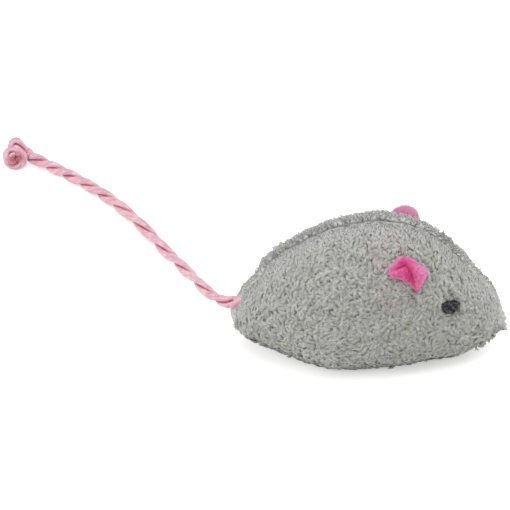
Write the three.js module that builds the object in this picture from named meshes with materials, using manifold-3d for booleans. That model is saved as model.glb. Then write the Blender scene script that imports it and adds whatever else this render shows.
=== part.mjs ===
// A stuffed catnip mouse in millimetres. The nose points to +X, +Z is up and the belly rests on Z = 0.
// Two plush side panels and a belly panel are sewn along seams whose allowances turn inwards, and
// every seam is held by a thread that runs through both allowances. Two wads of fibre fill the
// body, with a sachet of catnip between them. The cord tail is knotted inside the rump seam.
import * as THREE from "three";
import { mergeVertices } from "three/addons/utils/BufferGeometryUtils.js";
import Module from "manifold-3d";

const wasm = await Module();
wasm.setup();

// Body, as the outside of the pile
const bodyLength = 76;
const bodyHeight = 42.4;
const seamSpan = 34.6; // between the two belly seams, where the body is widest
const seamRise = 9; // how far the belly seams climb at the nose and at the rump

// Plush and seams
const fabricThickness = 2.2;
const allowanceDepth = 5.5; // how far a seam allowance reaches inwards from the pile's surface
const allowanceThickness = 1.2;
const seamTilt = (26 * Math.PI) / 180; // the belly allowances lean up by this from level
const fit = 0.3; // clearance between pieces that touch
const overrun = 4; // how far a cut runs past what it cuts

// Seam threads
const threadDiameter = 0.5;
const stitchLength = 5;
const stitchDepth = 3.3; // of the row of stitches below the pile's surface
const closingLength = 30; // of the gap that the body was filled through, at the rump

// Ears, each a disc of felt gathered at its base
const earHeight = 10.2;
const earWidth = 10.4;
const feltThickness = 1;
const earBaseDiameter = 2.2;
const earBaseWidth = 3;
const earTackReach = 0.8; // of the tack thread's ends, under the fabric

// Eyes, sewn in thick black thread
const eyeWidth = 5;
const eyeHeight = 3.6;
const eyeThickness = 1.5;
const eyeSink = 0.8; // how deep the thread pulls an eye into the pile
const eyeThreadDiameter = 0.8;

// Catnip sachet, a round pouch that stands between the two wads
const sachetDiameter = 24;
const sachetThickness = 6;
const sachetCloth = 0.5;
const sachetSeal = 1.5; // width of the rim where the two sheets are sealed together
const sachetHeight = 20; // of its middle

// Tail, a two-ply cord
const cordDiameter = 3;
const tailHeight = 15.1; // of the hole in the rump seam that it leaves by
const tailBaseLength = 3.2; // of the short stretch that bends as the tail swings
const stopKnotDiameter = 6.4;
const stopKnotInset = 12.8; // of the inner knot's middle, in front of the rump
const knotDiameter = 7.4;
const cutEndLength = 4.4;
const cutEndTurn = (100 * Math.PI) / 180; // from the cord's own way, seen from above

// The points that the loose tail follows, laid by hand: out of the rump, down, and along the floor
const tailRoute = [
  [-42.4, 3.2, 14.9], [-44.2, 7.6, 13.6], [-45.7, 13.4, 11.2], [-47.2, 19.2, 8.9], [-48.9, 25.4, 6.6],
  [-51.6, 33.3, 4.2], [-55.0, 41.3, 2.5], [-58.5, 48.8, 1.75], [-61.8, 54.8, 1.6], [-65.1, 60.1, 1.6],
  [-68.4, 64.8, 1.6], [-71.7, 69.0, 1.6], [-75.0, 72.7, 1.6], [-78.3, 76.0, 1.6], [-81.6, 79.0, 1.6],
  [-84.9, 81.8, 1.6], [-88.0, 84.2, 1.7], [-90.7, 85.8, 2.2], [-93.2, 86.7, 2.8],
];

// Stations from the rump to the nose. Each row: place along the body's length, height of the ridge
// (of bodyHeight), half-width at the belly seam (of half seamSpan), height of that seam and height
// of the belly's middle (both of seamRise).
const stationShares = [
  [0, 0.283, 0.07, 1, 0.89],
  [0.013, 0.377, 0.18, 0.97, 0.78],
  [0.04, 0.44, 0.32, 0.94, 0.66],
  [0.083, 0.565, 0.47, 0.93, 0.52],
  [0.155, 0.724, 0.64, 0.9, 0.36],
  [0.255, 0.85, 0.83, 0.82, 0.14],
  [0.382, 0.955, 1, 0.64, 0],
  [0.526, 1.01, 0.95, 0.66, 0],
  [0.645, 0.99, 0.87, 0.64, 0],
  [0.737, 0.915, 0.75, 0.6, 0],
  [0.809, 0.8, 0.63, 0.56, 0],
  [0.875, 0.66, 0.49, 0.57, 0.16],
  [0.932, 0.53, 0.34, 0.68, 0.4],
  [0.974, 0.395, 0.22, 0.75, 0.6],
  [0.993, 0.278, 0.12, 0.92, 0.8],
  [1, 0.25, 0.07, 1, 0.93],
];

// A cross-section: the flat of the belly, then the curve up to the seam, then the side up to the
// ridge. y shares are of the half-width at the seam, z shares of the height that the curve climbs.
const bellyFlatShare = 0.6;
const bellyCurveShare = [0.93, 0.08];
const sideBulgeShare = [1.32, 0.36];
const shoulderShare = [0.84, 0.94];

// Where the small pieces sit: a share of the way through the stations, and up the side's curve
const earStationShare = 0.54;
const earSideShare = 0.535;
const eyeStationShare = 0.655;
const eyeSideShare = 0.455;
const sachetAlongShare = 0.5;

// How the ear leans. up is the way it rises and face is the way it opens, on the mouse's right
const earUpShare = new THREE.Vector3(-0.33, 0.25, 0.92);
const earFaceShare = new THREE.Vector3(0.3, -0.9, 0.3);
// Each row: height (of earHeight), half-width (of half earWidth), and how far each edge bends forward
// (of a right angle)
const earShapeShares = [
  [0.08, 0.34, 0.83],
  [0.2, 0.62, 0.8],
  [0.35, 0.87, 0.7],
  [0.52, 1, 0.6],
  [0.7, 0.95, 0.51],
  [0.85, 0.75, 0.41],
  [0.95, 0.45, 0.35],
  [1, 0.16, 0.32],
];

// The stretch of the stations that each seam's thread runs along
const ridgeRangeShare = [0.18, 0.87];
const bellyRangeShare = [0.24, 0.77];

// The sachet's section between its middle and its rim: of its half-width, and of its half-thickness
const pouchShare = [0.6, 0.7];

// How finely round shapes are faceted
const stationCount = 24;
const bellyFlatSteps = 2;
const bellyCurveSteps = 2;
const sideSteps = 8;
const earSteps = 8;
const threadSides = 5;
const holeSides = 6;
const roundSides = 10;
const cordSides = 8;
const knotSteps = 14;
const lumpSteps = [10, 8];
const pouchSteps = [8, 14];

const half = 1 / 2;
const rightAngle = Math.PI / 2;
const slopeShare = half / stationCount; // a short way along the stations, to read a slope from
const rumpX = -bodyLength * half;
const sides = { left: 1, right: -1 };

const pinkFelt = { color: 0xc8648e, roughness: 0.95, metalness: 0 };
const greyPlush = { color: 0xa0a19c, roughness: 1, metalness: 0 };
const greyThread = { color: 0x8c8d89, roughness: 0.8, metalness: 0 };
const pinkThread = { color: 0xb85a84, roughness: 0.8, metalness: 0 };
const blackThread = { color: 0x202021, roughness: 0.6, metalness: 0 };
const pinkCord = { color: 0xdba8b5, roughness: 0.7, metalness: 0 };
const whiteFibre = { color: 0xf0efec, roughness: 1, metalness: 0 };
const sachetFibre = { color: 0xe4e2d8, roughness: 0.95, metalness: 0 };
const driedLeaf = { color: 0x7b8248, roughness: 1, metalness: 0 };

const mouse = new THREE.Group();

function addPiece(name, geometry, finish) {
  const mesh = new THREE.Mesh(geometry, new THREE.MeshStandardMaterial(finish));
  mesh.name = name;
  mouse.add(mesh);
}

// Solids for joining and cutting, and back again

function solid(geometry) {
  const bare = geometry.clone();
  bare.deleteAttribute("normal");
  bare.deleteAttribute("uv");
  const merged = mergeVertices(bare);
  return new wasm.Manifold(
    new wasm.Mesh({
      numProp: 3,
      vertProperties: Float32Array.from(merged.attributes.position.array),
      triVerts: Uint32Array.from(merged.index.array),
    }),
  );
}

function geometryOf(manifold) {
  const mesh = manifold.getMesh();
  const geometry = new THREE.BufferGeometry();
  geometry.setAttribute("position", new THREE.BufferAttribute(mesh.vertProperties, 3));
  geometry.setIndex(new THREE.BufferAttribute(mesh.triVerts, 1));
  return geometry;
}

function boxSolid(low, high) {
  const size = high.clone().sub(low);
  const middle = low.clone().add(high).multiplyScalar(half);
  return solid(new THREE.BoxGeometry(size.x, size.y, size.z).translate(middle.x, middle.y, middle.z));
}

function geometryFrom(points, faces) {
  const geometry = new THREE.BufferGeometry();
  const positions = points.flatMap((point) => point.toArray());
  geometry.setAttribute("position", new THREE.Float32BufferAttribute(positions, 3));
  geometry.setIndex(faces);
  return geometry;
}

// The wall through rings of points, each counter-clockwise seen from the way that they advance
function wallFaces(rings) {
  const count = rings[0].length;
  const faces = [];
  for (let i = 0; i + 1 < rings.length; i += 1) {
    for (let j = 0; j < count; j += 1) {
      const [here, next] = [i * count + j, i * count + ((j + 1) % count)];
      faces.push(here, next, next + count, here, next + count, here + count);
    }
  }
  return faces;
}

// A closed solid through rings of points, with a fan of faces at each end
function loft(rings) {
  const count = rings[0].length;
  const points = rings.flat();
  const faces = wallFaces(rings);
  for (const [ring, turned] of [[0, true], [rings.length - 1, false]]) {
    const hub = points.length;
    const middle = new THREE.Vector3();
    for (const point of rings[ring]) middle.addScaledVector(point, 1 / count);
    points.push(middle);
    for (let j = 0; j < count; j += 1) {
      const [here, next] = [ring * count + j, ring * count + ((j + 1) % count)];
      faces.push(hub, ...(turned ? [next, here] : [here, next]));
    }
  }
  return geometryFrom(points, faces);
}

// A thread or rod along straight runs, mitred at each corner
function rod(points, diameter, facets) {
  const along = points.slice(1).map((point, i) => point.clone().sub(points[i]).normalize());
  const across = new THREE.Vector3(0, 0, 1);
  if (Math.abs(across.dot(along[0])) > Math.SQRT1_2) across.set(1, 0, 0);
  across.addScaledVector(along[0], -across.dot(along[0])).normalize();
  let ring = [];
  for (let j = 0; j < facets; j += 1) {
    const spoke = across.clone().applyAxisAngle(along[0], (2 * Math.PI * j) / facets);
    ring.push(points[0].clone().addScaledVector(spoke, diameter * half));
  }
  const rings = [ring];
  for (let i = 1; i < points.length; i += 1) {
    const way = along[i - 1];
    const plane = way.clone().add(along[i] ?? way).normalize();
    ring = ring.map((point) => {
      const reach = points[i].clone().sub(point).dot(plane) / way.dot(plane);
      return point.clone().addScaledVector(way, reach);
    });
    rings.push(ring);
  }
  return loft(rings);
}

// The body's outline at a share of the way through the stations

const stationCurve = (columns) =>
  new THREE.CatmullRomCurve3(
    stationShares.map((row) => new THREE.Vector3(...columns.map((column) => row[column]))),
    false,
    "catmullrom",
    half,
  );
const spineCurve = stationCurve([0, 1, 4]);
const seamCurve = stationCurve([0, 2, 3]);

function outerStation(share) {
  const within = THREE.MathUtils.clamp(share, 0, 1);
  const spine = spineCurve.getPoint(within);
  const seam = seamCurve.getPoint(within);
  return {
    x: (spine.x - half) * bodyLength,
    ridge: spine.y * bodyHeight,
    belly: Math.max(spine.z, 0) * seamRise,
    seamY: seam.y * seamSpan * half,
    seamZ: seam.z * seamRise,
  };
}

// The same outline a given depth inside the body
function station(share, inset) {
  const outer = outerStation(share);
  const before = outerStation(share - slopeShare);
  const after = outerStation(share + slopeShare);
  const slant = (name) => Math.hypot(1, (after[name] - before[name]) / (after.x - before.x));
  return {
    x: outer.x,
    ridge: outer.ridge - inset * slant("ridge"),
    belly: outer.belly + inset * slant("belly"),
    seamY: outer.seamY - inset * Math.cos(seamTilt) * slant("seamY"),
    seamZ: outer.seamZ + inset * Math.sin(seamTilt),
  };
}

function sideCurve({ ridge, seamY, seamZ }) {
  const climb = ridge - seamZ;
  return new THREE.CubicBezierCurve(
    new THREE.Vector2(seamY, seamZ),
    new THREE.Vector2(seamY * sideBulgeShare[0], seamZ + climb * sideBulgeShare[1]),
    new THREE.Vector2(seamY * shoulderShare[0], seamZ + climb * shoulderShare[1]),
    new THREE.Vector2(0, ridge),
  );
}

function bellyCurve({ belly, seamY, seamZ }) {
  return new THREE.QuadraticBezierCurve(
    new THREE.Vector2(seamY * bellyFlatShare, belly),
    new THREE.Vector2(seamY * bellyCurveShare[0], belly + (seamZ - belly) * bellyCurveShare[1]),
    new THREE.Vector2(seamY, seamZ),
  );
}

function sectionRing(outline) {
  const left = [];
  for (let i = 0; i < bellyFlatSteps; i += 1) {
    left.push(new THREE.Vector2((outline.seamY * bellyFlatShare * i) / bellyFlatSteps, outline.belly));
  }
  left.push(...bellyCurve(outline).getPoints(bellyCurveSteps).slice(0, -1));
  left.push(...sideCurve(outline).getPoints(sideSteps));
  const right = left.slice(1, -1).reverse();
  return [
    ...left.map((point) => new THREE.Vector3(outline.x, point.x, point.y)),
    ...right.map((point) => new THREE.Vector3(outline.x, -point.x, point.y)),
  ];
}

function bodySolid(inset) {
  const rings = [];
  for (let i = 0; i < stationCount; i += 1) {
    const outline = station(i / (stationCount - 1), inset);
    const deepEnough = outline.ridge - outline.seamZ > inset * half && outline.seamZ > outline.belly;
    if (outline.seamY > 0 && deepEnough) rings.push(sectionRing(outline));
  }
  return solid(loft(rings));
}

// Everything above the sloping surface that the belly seams lie in, moved along its normal by offset
function aboveSeam(offset) {
  const rings = [];
  const [reach, top] = [bodyLength, bodyHeight * 2];
  const slope = Math.tan(seamTilt);
  const lift = offset / Math.cos(seamTilt);
  for (let i = -1; i <= stationCount; i += 1) {
    const outline = outerStation(i / (stationCount - 1));
    const x = outline.x + (i < 0 ? -reach : 0) + (i < stationCount ? 0 : reach);
    const roof = outline.seamZ + outline.seamY * slope + lift;
    const eave = roof - reach * slope;
    rings.push([
      new THREE.Vector3(x, 0, roof),
      new THREE.Vector3(x, reach, eave),
      new THREE.Vector3(x, reach, top),
      new THREE.Vector3(x, -reach, top),
      new THREE.Vector3(x, -reach, eave),
    ]);
  }
  return solid(loft(rings));
}

// The part of space between two distances from the middle plane, on one side of it
function sideSlab(side, near, far) {
  const [low, high] = side > 0 ? [near, far] : [-far, -near];
  return boxSolid(
    new THREE.Vector3(-bodyLength, low, -bodyHeight),
    new THREE.Vector3(bodyLength, high, bodyHeight * 2),
  );
}

// A point on the pile's surface, with the way that the surface faces there. side is 1 on the left
function surfaceAt(stationShare, sideShare, side) {
  const place = (along, up) => {
    const outline = outerStation(along);
    const point = sideCurve(outline).getPoint(up);
    return new THREE.Vector3(outline.x, point.x * side, point.y);
  };
  const point = place(stationShare, sideShare);
  const ahead = place(stationShare + slopeShare, sideShare).sub(point);
  const above = place(stationShare, sideShare + slopeShare).sub(point);
  const normal = above.cross(ahead).multiplyScalar(side).normalize();
  return { point, normal };
}

// Seams. Each is a row of stitches: a place inside the fabric, the way that the thread crosses the two
// allowances there, and the way that the seam runs

const threadOffset = fit * half + allowanceThickness + fit + threadDiameter * half;
const holeWidth = threadDiameter + 2 * fit;

// turn is the sense that takes the seam's way and the crossing way round to the inside of the body
function seamPlace(seamPoint, crossing, turn, share) {
  const way = seamPoint(share + slopeShare).sub(seamPoint(share - slopeShare)).normalize();
  const across = crossing.clone().addScaledVector(way, -crossing.dot(way)).normalize();
  const inwards = way.clone().cross(across).multiplyScalar(turn);
  return { point: seamPoint(share).addScaledVector(inwards, stitchDepth), across, way };
}

function ridgePlace(share) {
  const ridgePoint = (at) => {
    const outline = outerStation(at);
    return new THREE.Vector3(outline.x, 0, outline.ridge);
  };
  return seamPlace(ridgePoint, new THREE.Vector3(0, 1, 0), -1, share);
}

function bellyPlace(share, side) {
  const bellyPoint = (at) => {
    const outline = outerStation(at);
    return new THREE.Vector3(outline.x, outline.seamY * side, outline.seamZ);
  };
  const crossing = new THREE.Vector3(0, Math.sin(seamTilt) * side, Math.cos(seamTilt));
  return seamPlace(bellyPoint, crossing, side, share);
}

// Places about a stitch apart between two shares of the stations
function stitchPlaces(placeAt, from, to) {
  const sampleCount = 400;
  const samples = [];
  const reached = [];
  let total = 0;
  for (let i = 0; i <= sampleCount; i += 1) {
    samples.push(placeAt(from + ((to - from) * i) / sampleCount));
    if (i > 0) total += samples[i].point.distanceTo(samples[i - 1].point);
    reached.push(total);
  }
  const count = Math.max(Math.round(total / stitchLength), 2);
  const places = [samples[0]];
  for (let k = 1; k < count; k += 1) {
    places.push(samples[reached.findIndex((length) => length >= (total * k) / count)]);
  }
  return [...places, samples[sampleCount]];
}

// The thread lies on one side of the allowances for a stitch, crosses, and lies on the other
function stitchThread(places) {
  const points = [];
  let side = 1;
  places.forEach(({ point, across }, k) => {
    points.push(point.clone().addScaledVector(across, side * threadOffset));
    if (k > 0 && k + 1 < places.length) {
      side = -side;
      points.push(point.clone().addScaledVector(across, side * threadOffset));
    }
  });
  return rod(points, threadDiameter, threadSides);
}

function stitchHoles(places) {
  return places.slice(1, -1).map(({ point, across, way }) => {
    const up = way.clone().cross(across);
    const turn = new THREE.Matrix4().makeBasis(way, across, up).setPosition(point);
    return solid(new THREE.BoxGeometry(holeWidth, 2 * threadOffset, holeWidth).applyMatrix4(turn));
  });
}

// On the right, one thread closes the gap at the rump and another goes on to the nose
const [seamStartShare, seamEndShare] = bellyRangeShare;
const closingShare = seamStartShare + ((seamEndShare - seamStartShare) * closingLength) / bodyLength;
const closedShare = closingShare - (stitchLength * half) / bodyLength;
const leftPlace = (share) => bellyPlace(share, sides.left);
const rightPlace = (share) => bellyPlace(share, sides.right);
const seams = {
  ridge_seam_thread: stitchPlaces(ridgePlace, ...ridgeRangeShare),
  left_belly_seam_thread: stitchPlaces(leftPlace, seamStartShare, seamEndShare),
  right_belly_seam_thread: stitchPlaces(rightPlace, closingShare, seamEndShare),
  closing_seam_thread: stitchPlaces(rightPlace, seamStartShare, closedShare),
};
const allStitchHoles = wasm.Manifold.union(Object.values(seams).flatMap(stitchHoles));

// Fabric panels

const outer = bodySolid(0);
const skin = outer.subtract(bodySolid(fabricThickness));
const rim = outer.subtract(bodySolid(allowanceDepth));
const aboveGap = aboveSeam(fit * half);
const belowGap = aboveSeam(-fit * half);
const upperAllowance = rim.intersect(aboveGap.subtract(aboveSeam(fit * half + allowanceThickness)));
const lowerAllowance = rim.intersect(aboveSeam(-fit * half - allowanceThickness).subtract(belowGap));

// Small pieces that pass through the panels

const earBaseLift = fit + earBaseDiameter * half;

function earFrame(side) {
  const seat = surfaceAt(earStationShare, earSideShare, side);
  const flip = new THREE.Vector3(1, -side, 1);
  const up = earUpShare.clone().multiply(flip).normalize();
  const face = earFaceShare.clone().multiply(flip);
  face.addScaledVector(up, -face.dot(up)).normalize();
  const across = face.clone().cross(up);
  const out = seat.normal.clone().addScaledVector(across, -seat.normal.dot(across)).normalize();
  return { hinge: seat.point.clone().addScaledVector(seat.normal, earBaseLift), up, face, across, out };
}

// A curved sheet between two grids of points, with a strip of faces along its first and last rows
function sheet(backGrid, frontGrid) {
  const rings = backGrid.map((row, i) => [...row, ...frontGrid[i].toReversed()]);
  const count = rings[0].length;
  const faces = wallFaces(rings);
  for (const [first, turned] of [[0, true], [(rings.length - 1) * count, false]]) {
    const last = first + count - 1;
    for (let j = 0; j + 1 < backGrid[0].length; j += 1) {
      const corners = [first + j, first + j + 1, last - j - 1, last - j];
      const [a, b, c, d] = turned ? corners.toReversed() : corners;
      faces.push(a, b, c, a, c, d);
    }
  }
  return geometryFrom(rings.flat(), faces);
}

function earSolid(side) {
  const { hinge, up, face, across } = earFrame(side);
  const grid = (depth) =>
    earShapeShares.map(([riseShare, widthShare, bendShare]) => {
      const bend = bendShare * rightAngle;
      const radius = (widthShare * earWidth * half) / bend;
      const row = [];
      for (let j = 0; j <= earSteps; j += 1) {
        const turn = bend * ((2 * j) / earSteps - 1);
        const point = hinge.clone().addScaledVector(up, riseShare * earHeight);
        point.addScaledVector(across, (radius - depth) * Math.sin(turn));
        row.push(point.addScaledVector(face, radius - (radius - depth) * Math.cos(turn)));
      }
      return row;
    });
  const cup = solid(sheet(grid(-feltThickness * half), grid(feltThickness * half)));
  const ends = (reach) => [-reach, reach].map((w) => hinge.clone().addScaledVector(across, w));
  const roll = solid(rod(ends(earBaseWidth * half), earBaseDiameter, roundSides));
  const bore = solid(rod(ends(earBaseWidth * half + overrun), holeWidth, holeSides));
  return cup.add(roll).subtract(bore);
}

// A staple of thread: up through the fabric, along the ear's rolled base, and down again
function earTackPoints(side) {
  const { hinge, across, out } = earFrame(side);
  const legAt = earBaseWidth * half + fit + threadDiameter * half;
  const depth = -(earBaseLift + fabricThickness + fit + threadDiameter);
  const at = (w, n) => hinge.clone().addScaledVector(across, w).addScaledVector(out, n);
  return [
    at(-earTackReach, depth),
    at(-legAt, depth),
    at(-legAt, 0),
    at(legAt, 0),
    at(legAt, depth),
    at(earTackReach, depth),
  ];
}

function eyeFrame(side) {
  const { point, normal } = surfaceAt(eyeStationShare, eyeSideShare, side);
  const along = new THREE.Vector3(1, 0, 0).addScaledVector(normal, -normal.x).normalize();
  const up = normal.clone().cross(along);
  if (up.z < 0) up.negate();
  const base = point.clone().addScaledVector(normal, -eyeSink);
  return { base, normal, along: up.clone().cross(normal), up };
}

// A rounded triangle with its point down
function eyeSolid(side, grow) {
  const { base, normal, along, up } = eyeFrame(side);
  const [width, height] = [eyeWidth * half + grow, eyeHeight * half + grow];
  const outline = new THREE.Shape();
  outline.moveTo(0, -height);
  outline.quadraticCurveTo(width, -height * half, width, height * half);
  outline.quadraticCurveTo(width * half, height, 0, height);
  outline.quadraticCurveTo(-width * half, height, -width, height * half);
  outline.quadraticCurveTo(-width, -height * half, 0, -height);
  const bevel = grow > 0 ? 0 : eyeThickness * half * half;
  const geometry = new THREE.ExtrudeGeometry(outline, {
    depth: eyeThickness - 2 * bevel + 2 * grow,
    bevelEnabled: bevel > 0,
    bevelThickness: bevel,
    bevelSize: bevel,
    bevelOffset: -bevel,
    bevelSegments: 2,
    curveSegments: 4,
  });
  geometry.translate(0, 0, bevel - grow);
  const turn = new THREE.Matrix4().makeBasis(along, up, normal).setPosition(base);
  return solid(geometry.applyMatrix4(turn));
}

// The straight run of thread from eye to eye, each end moved out by a length
function eyeThreadEnds(outwards) {
  return Object.values(sides).map((side) => {
    const { base } = eyeFrame(side);
    return base.clone().setY(base.y + side * (outwards - fit - eyeThreadDiameter));
  });
}

const eyeThread = rod(eyeThreadEnds(0), eyeThreadDiameter, holeSides);
const eyeThreadHole = solid(rod(eyeThreadEnds(overrun), eyeThreadDiameter + 2 * fit, holeSides));

// The tail's inner end: a stop knot, and the cord that passes out through the rump seam

const stopKnotX = rumpX + stopKnotInset;
const rootEnd = new THREE.Vector3(rumpX + cordDiameter * half - fit, 0, tailHeight);
const tailPivot = rootEnd.clone().setX(rootEnd.x - fit - cordDiameter * half);

function cordAlong(from, to, diameter) {
  return solid(rod([from, to], diameter, roundSides));
}

function ball(centre, diameter) {
  return solid(new THREE.SphereGeometry(diameter * half, ...lumpSteps).translate(...centre.toArray()));
}

// A cord pulled into a knot: one turn round the cord, over a lump
function knotLump(centre, way, diameter) {
  const turn = new THREE.Quaternion().setFromUnitVectors(new THREE.Vector3(0, 0, 1), way);
  const tube = cordDiameter * half;
  const loop = new THREE.TorusGeometry(diameter * half - tube, tube, cordSides, knotSteps);
  loop.applyQuaternion(turn).translate(...centre.toArray());
  return solid(loop).add(ball(centre, diameter - tube));
}

const stopKnotCentre = new THREE.Vector3(stopKnotX, 0, tailHeight);
const tailRoot = knotLump(stopKnotCentre, new THREE.Vector3(1, 0, 0), stopKnotDiameter).add(
  cordAlong(stopKnotCentre, rootEnd, cordDiameter),
);
const tailHoleEnd = new THREE.Vector3(rumpX - overrun, 0, tailHeight);
const tailHole = cordAlong(stopKnotCentre, tailHoleEnd, cordDiameter + 2 * fit);
const stopKnotPocket = ball(stopKnotCentre, stopKnotDiameter + 4 * fit);

// Side panels and belly panel

const earTackHoles = Object.values(sides).flatMap((side) => {
  const [, lowA, highA, highB, lowB] = earTackPoints(side);
  return [[lowA, highA], [lowB, highB]].map((leg) => solid(rod(leg, holeWidth, holeSides)));
});
const eyePockets = Object.values(sides).map((side) => eyeSolid(side, fit));
const holes = [allStitchHoles, tailHole, eyeThreadHole, ...earTackHoles, ...eyePockets];
const panelHoles = wasm.Manifold.union(holes);

for (const [name, side] of Object.entries(sides)) {
  const ownSide = sideSlab(side, fit * half, bodyLength);
  const ridgeAllowance = rim.intersect(sideSlab(side, fit * half, fit * half + allowanceThickness));
  const panel = skin.intersect(ownSide).add(ridgeAllowance).intersect(aboveGap);
  const sewn = panel.add(upperAllowance.intersect(ownSide)).subtract(panelHoles);
  addPiece(`${name}_side_panel`, geometryOf(sewn), greyPlush);
}
const belly = skin.subtract(belowGap).add(lowerAllowance).subtract(allStitchHoles);
addPiece("belly_panel", geometryOf(belly), greyPlush);

// Filling: two wads that clear the allowances, the threads, the sachet and the tail's knot

const sachetX = (sachetAlongShare - half) * bodyLength;
const sachetCentre = new THREE.Vector3(sachetX, 0, sachetHeight);

// A round pillow at the sachet's place, smaller than the sachet by a margin at its rim and at its faces
function pouch(rimMargin, faceMargin) {
  const [width, depth] = [sachetDiameter * half - rimMargin, sachetThickness * half - faceMargin];
  const [widthShare, depthShare] = pouchShare;
  const profile = new THREE.SplineCurve([
    new THREE.Vector2(0, -depth),
    new THREE.Vector2(width * widthShare, -depth * depthShare),
    new THREE.Vector2(width, 0),
    new THREE.Vector2(width * widthShare, depth * depthShare),
    new THREE.Vector2(0, depth),
  ]);
  const [profileSteps, turnSteps] = pouchSteps;
  const geometry = new THREE.LatheGeometry(profile.getPoints(profileSteps), turnSteps).rotateZ(-rightAngle);
  return solid(geometry.translate(...sachetCentre.toArray()));
}

const allowanceRoom = threadOffset + threadDiameter + fit;
const ridgeRoom = sideSlab(1, -allowanceRoom, allowanceRoom);
const bellyRoom = aboveSeam(-allowanceRoom).subtract(aboveSeam(allowanceRoom));
const deepRim = outer.subtract(bodySolid(allowanceDepth + fit));
const seamRoom = deepRim.intersect(ridgeRoom.add(bellyRoom));
const tackRooms = Object.values(sides).map((side) => {
  const [, low, , , lowOther] = earTackPoints(side);
  const spare = lowOther.clone().sub(low).setLength(threadDiameter + fit);
  return solid(rod([low.sub(spare), lowOther.add(spare)], 2 * (threadDiameter + 2 * fit), holeSides));
});
const rooms = [seamRoom, ...tackRooms, pouch(-fit, -fit), stopKnotPocket, tailHole, eyeThreadHole];
const filling = bodySolid(fabricThickness + fit).subtract(wasm.Manifold.union(rooms));
const corner = new THREE.Vector3(bodyLength, bodyLength, bodyLength);
const front = boxSolid(corner.clone().negate().setX(sachetX + fit * half), corner);
const rear = boxSolid(corner.clone().negate(), corner.clone().setX(sachetX - fit * half));
addPiece("front_stuffing", geometryOf(filling.intersect(front)), whiteFibre);
addPiece("rear_stuffing", geometryOf(filling.intersect(rear)), whiteFibre);

// Sachet: two round sheets of soft cloth sealed at the rim, and the leaf that they hold

const sachet = pouch(0, 0).subtract(pouch(sachetSeal, sachetCloth));
addPiece("sachet_front_sheet", geometryOf(sachet.intersect(front)), sachetFibre);
addPiece("sachet_rear_sheet", geometryOf(sachet.intersect(rear)), sachetFibre);
addPiece("catnip_leaf", geometryOf(pouch(sachetSeal + fit, sachetCloth + fit)), driedLeaf);

// Threads, ears and eyes

for (const [name, places] of Object.entries(seams)) {
  addPiece(name, stitchThread(places), greyThread);
}
for (const [name, side] of Object.entries(sides)) {
  addPiece(`${name}_ear`, geometryOf(earSolid(side)), pinkFelt);
  addPiece(`${name}_ear_tack_thread`, rod(earTackPoints(side), threadDiameter, threadSides), pinkThread);
  addPiece(`${name}_eye`, geometryOf(eyeSolid(side, 0)), blackThread);
}
addPiece("eye_thread", eyeThread, blackThread);

// Tail

addPiece("tail_root", geometryOf(tailRoot), pinkCord);

const routePoints = tailRoute.map((point) => new THREE.Vector3(...point));
const baseWay = routePoints[0].clone().sub(tailPivot).normalize();
const baseMiddle = tailPivot.clone().addScaledVector(baseWay, tailBaseLength * half);
const capSteps = 3;
const tailBase = new THREE.CapsuleGeometry(cordDiameter * half, tailBaseLength, capSteps, cordSides);
tailBase.applyQuaternion(new THREE.Quaternion().setFromUnitVectors(new THREE.Vector3(0, 1, 0), baseWay));
addPiece("tail_base", tailBase.translate(...baseMiddle.toArray()), pinkCord);

const cordStep = 2 * cordDiameter;
const cordSection = new THREE.Shape(
  Array.from({ length: cordSides }, (_, i) => {
    const turn = (2 * Math.PI * i) / cordSides;
    return new THREE.Vector2(Math.cos(turn), Math.sin(turn)).multiplyScalar(cordDiameter * half);
  }),
);
const cordPath = new THREE.CatmullRomCurve3(routePoints, false, "centripetal");
const cordSteps = Math.round(cordPath.getLength() / cordStep);
addPiece(
  "tail_cord",
  new THREE.ExtrudeGeometry(cordSection, { steps: cordSteps, extrudePath: cordPath }),
  pinkCord,
);

const cordEnd = routePoints.at(-1);
const endWay = cordPath.getTangent(1);
const knotCentre = cordEnd.clone().addScaledVector(endWay, knotDiameter * half);
const neck = cordAlong(cordEnd.clone().addScaledVector(endWay, fit), knotCentre, cordDiameter);
const cutWay = endWay.clone().applyAxisAngle(new THREE.Vector3(0, 0, 1), cutEndTurn);
const cutEnd = knotCentre.clone().addScaledVector(cutWay, knotDiameter * half + cutEndLength * half);
const cutStretch = cordAlong(knotCentre, cutEnd, cordDiameter);
const tailKnot = knotLump(knotCentre, endWay, knotDiameter).add(neck).add(cutStretch);
addPiece("tail_knot", geometryOf(tailKnot), pinkCord);

export default mouse;
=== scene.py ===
import math

import bpy
import numpy as np
from mathutils import Matrix, Vector, noise
from mathutils.bvhtree import BVHTree


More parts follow.
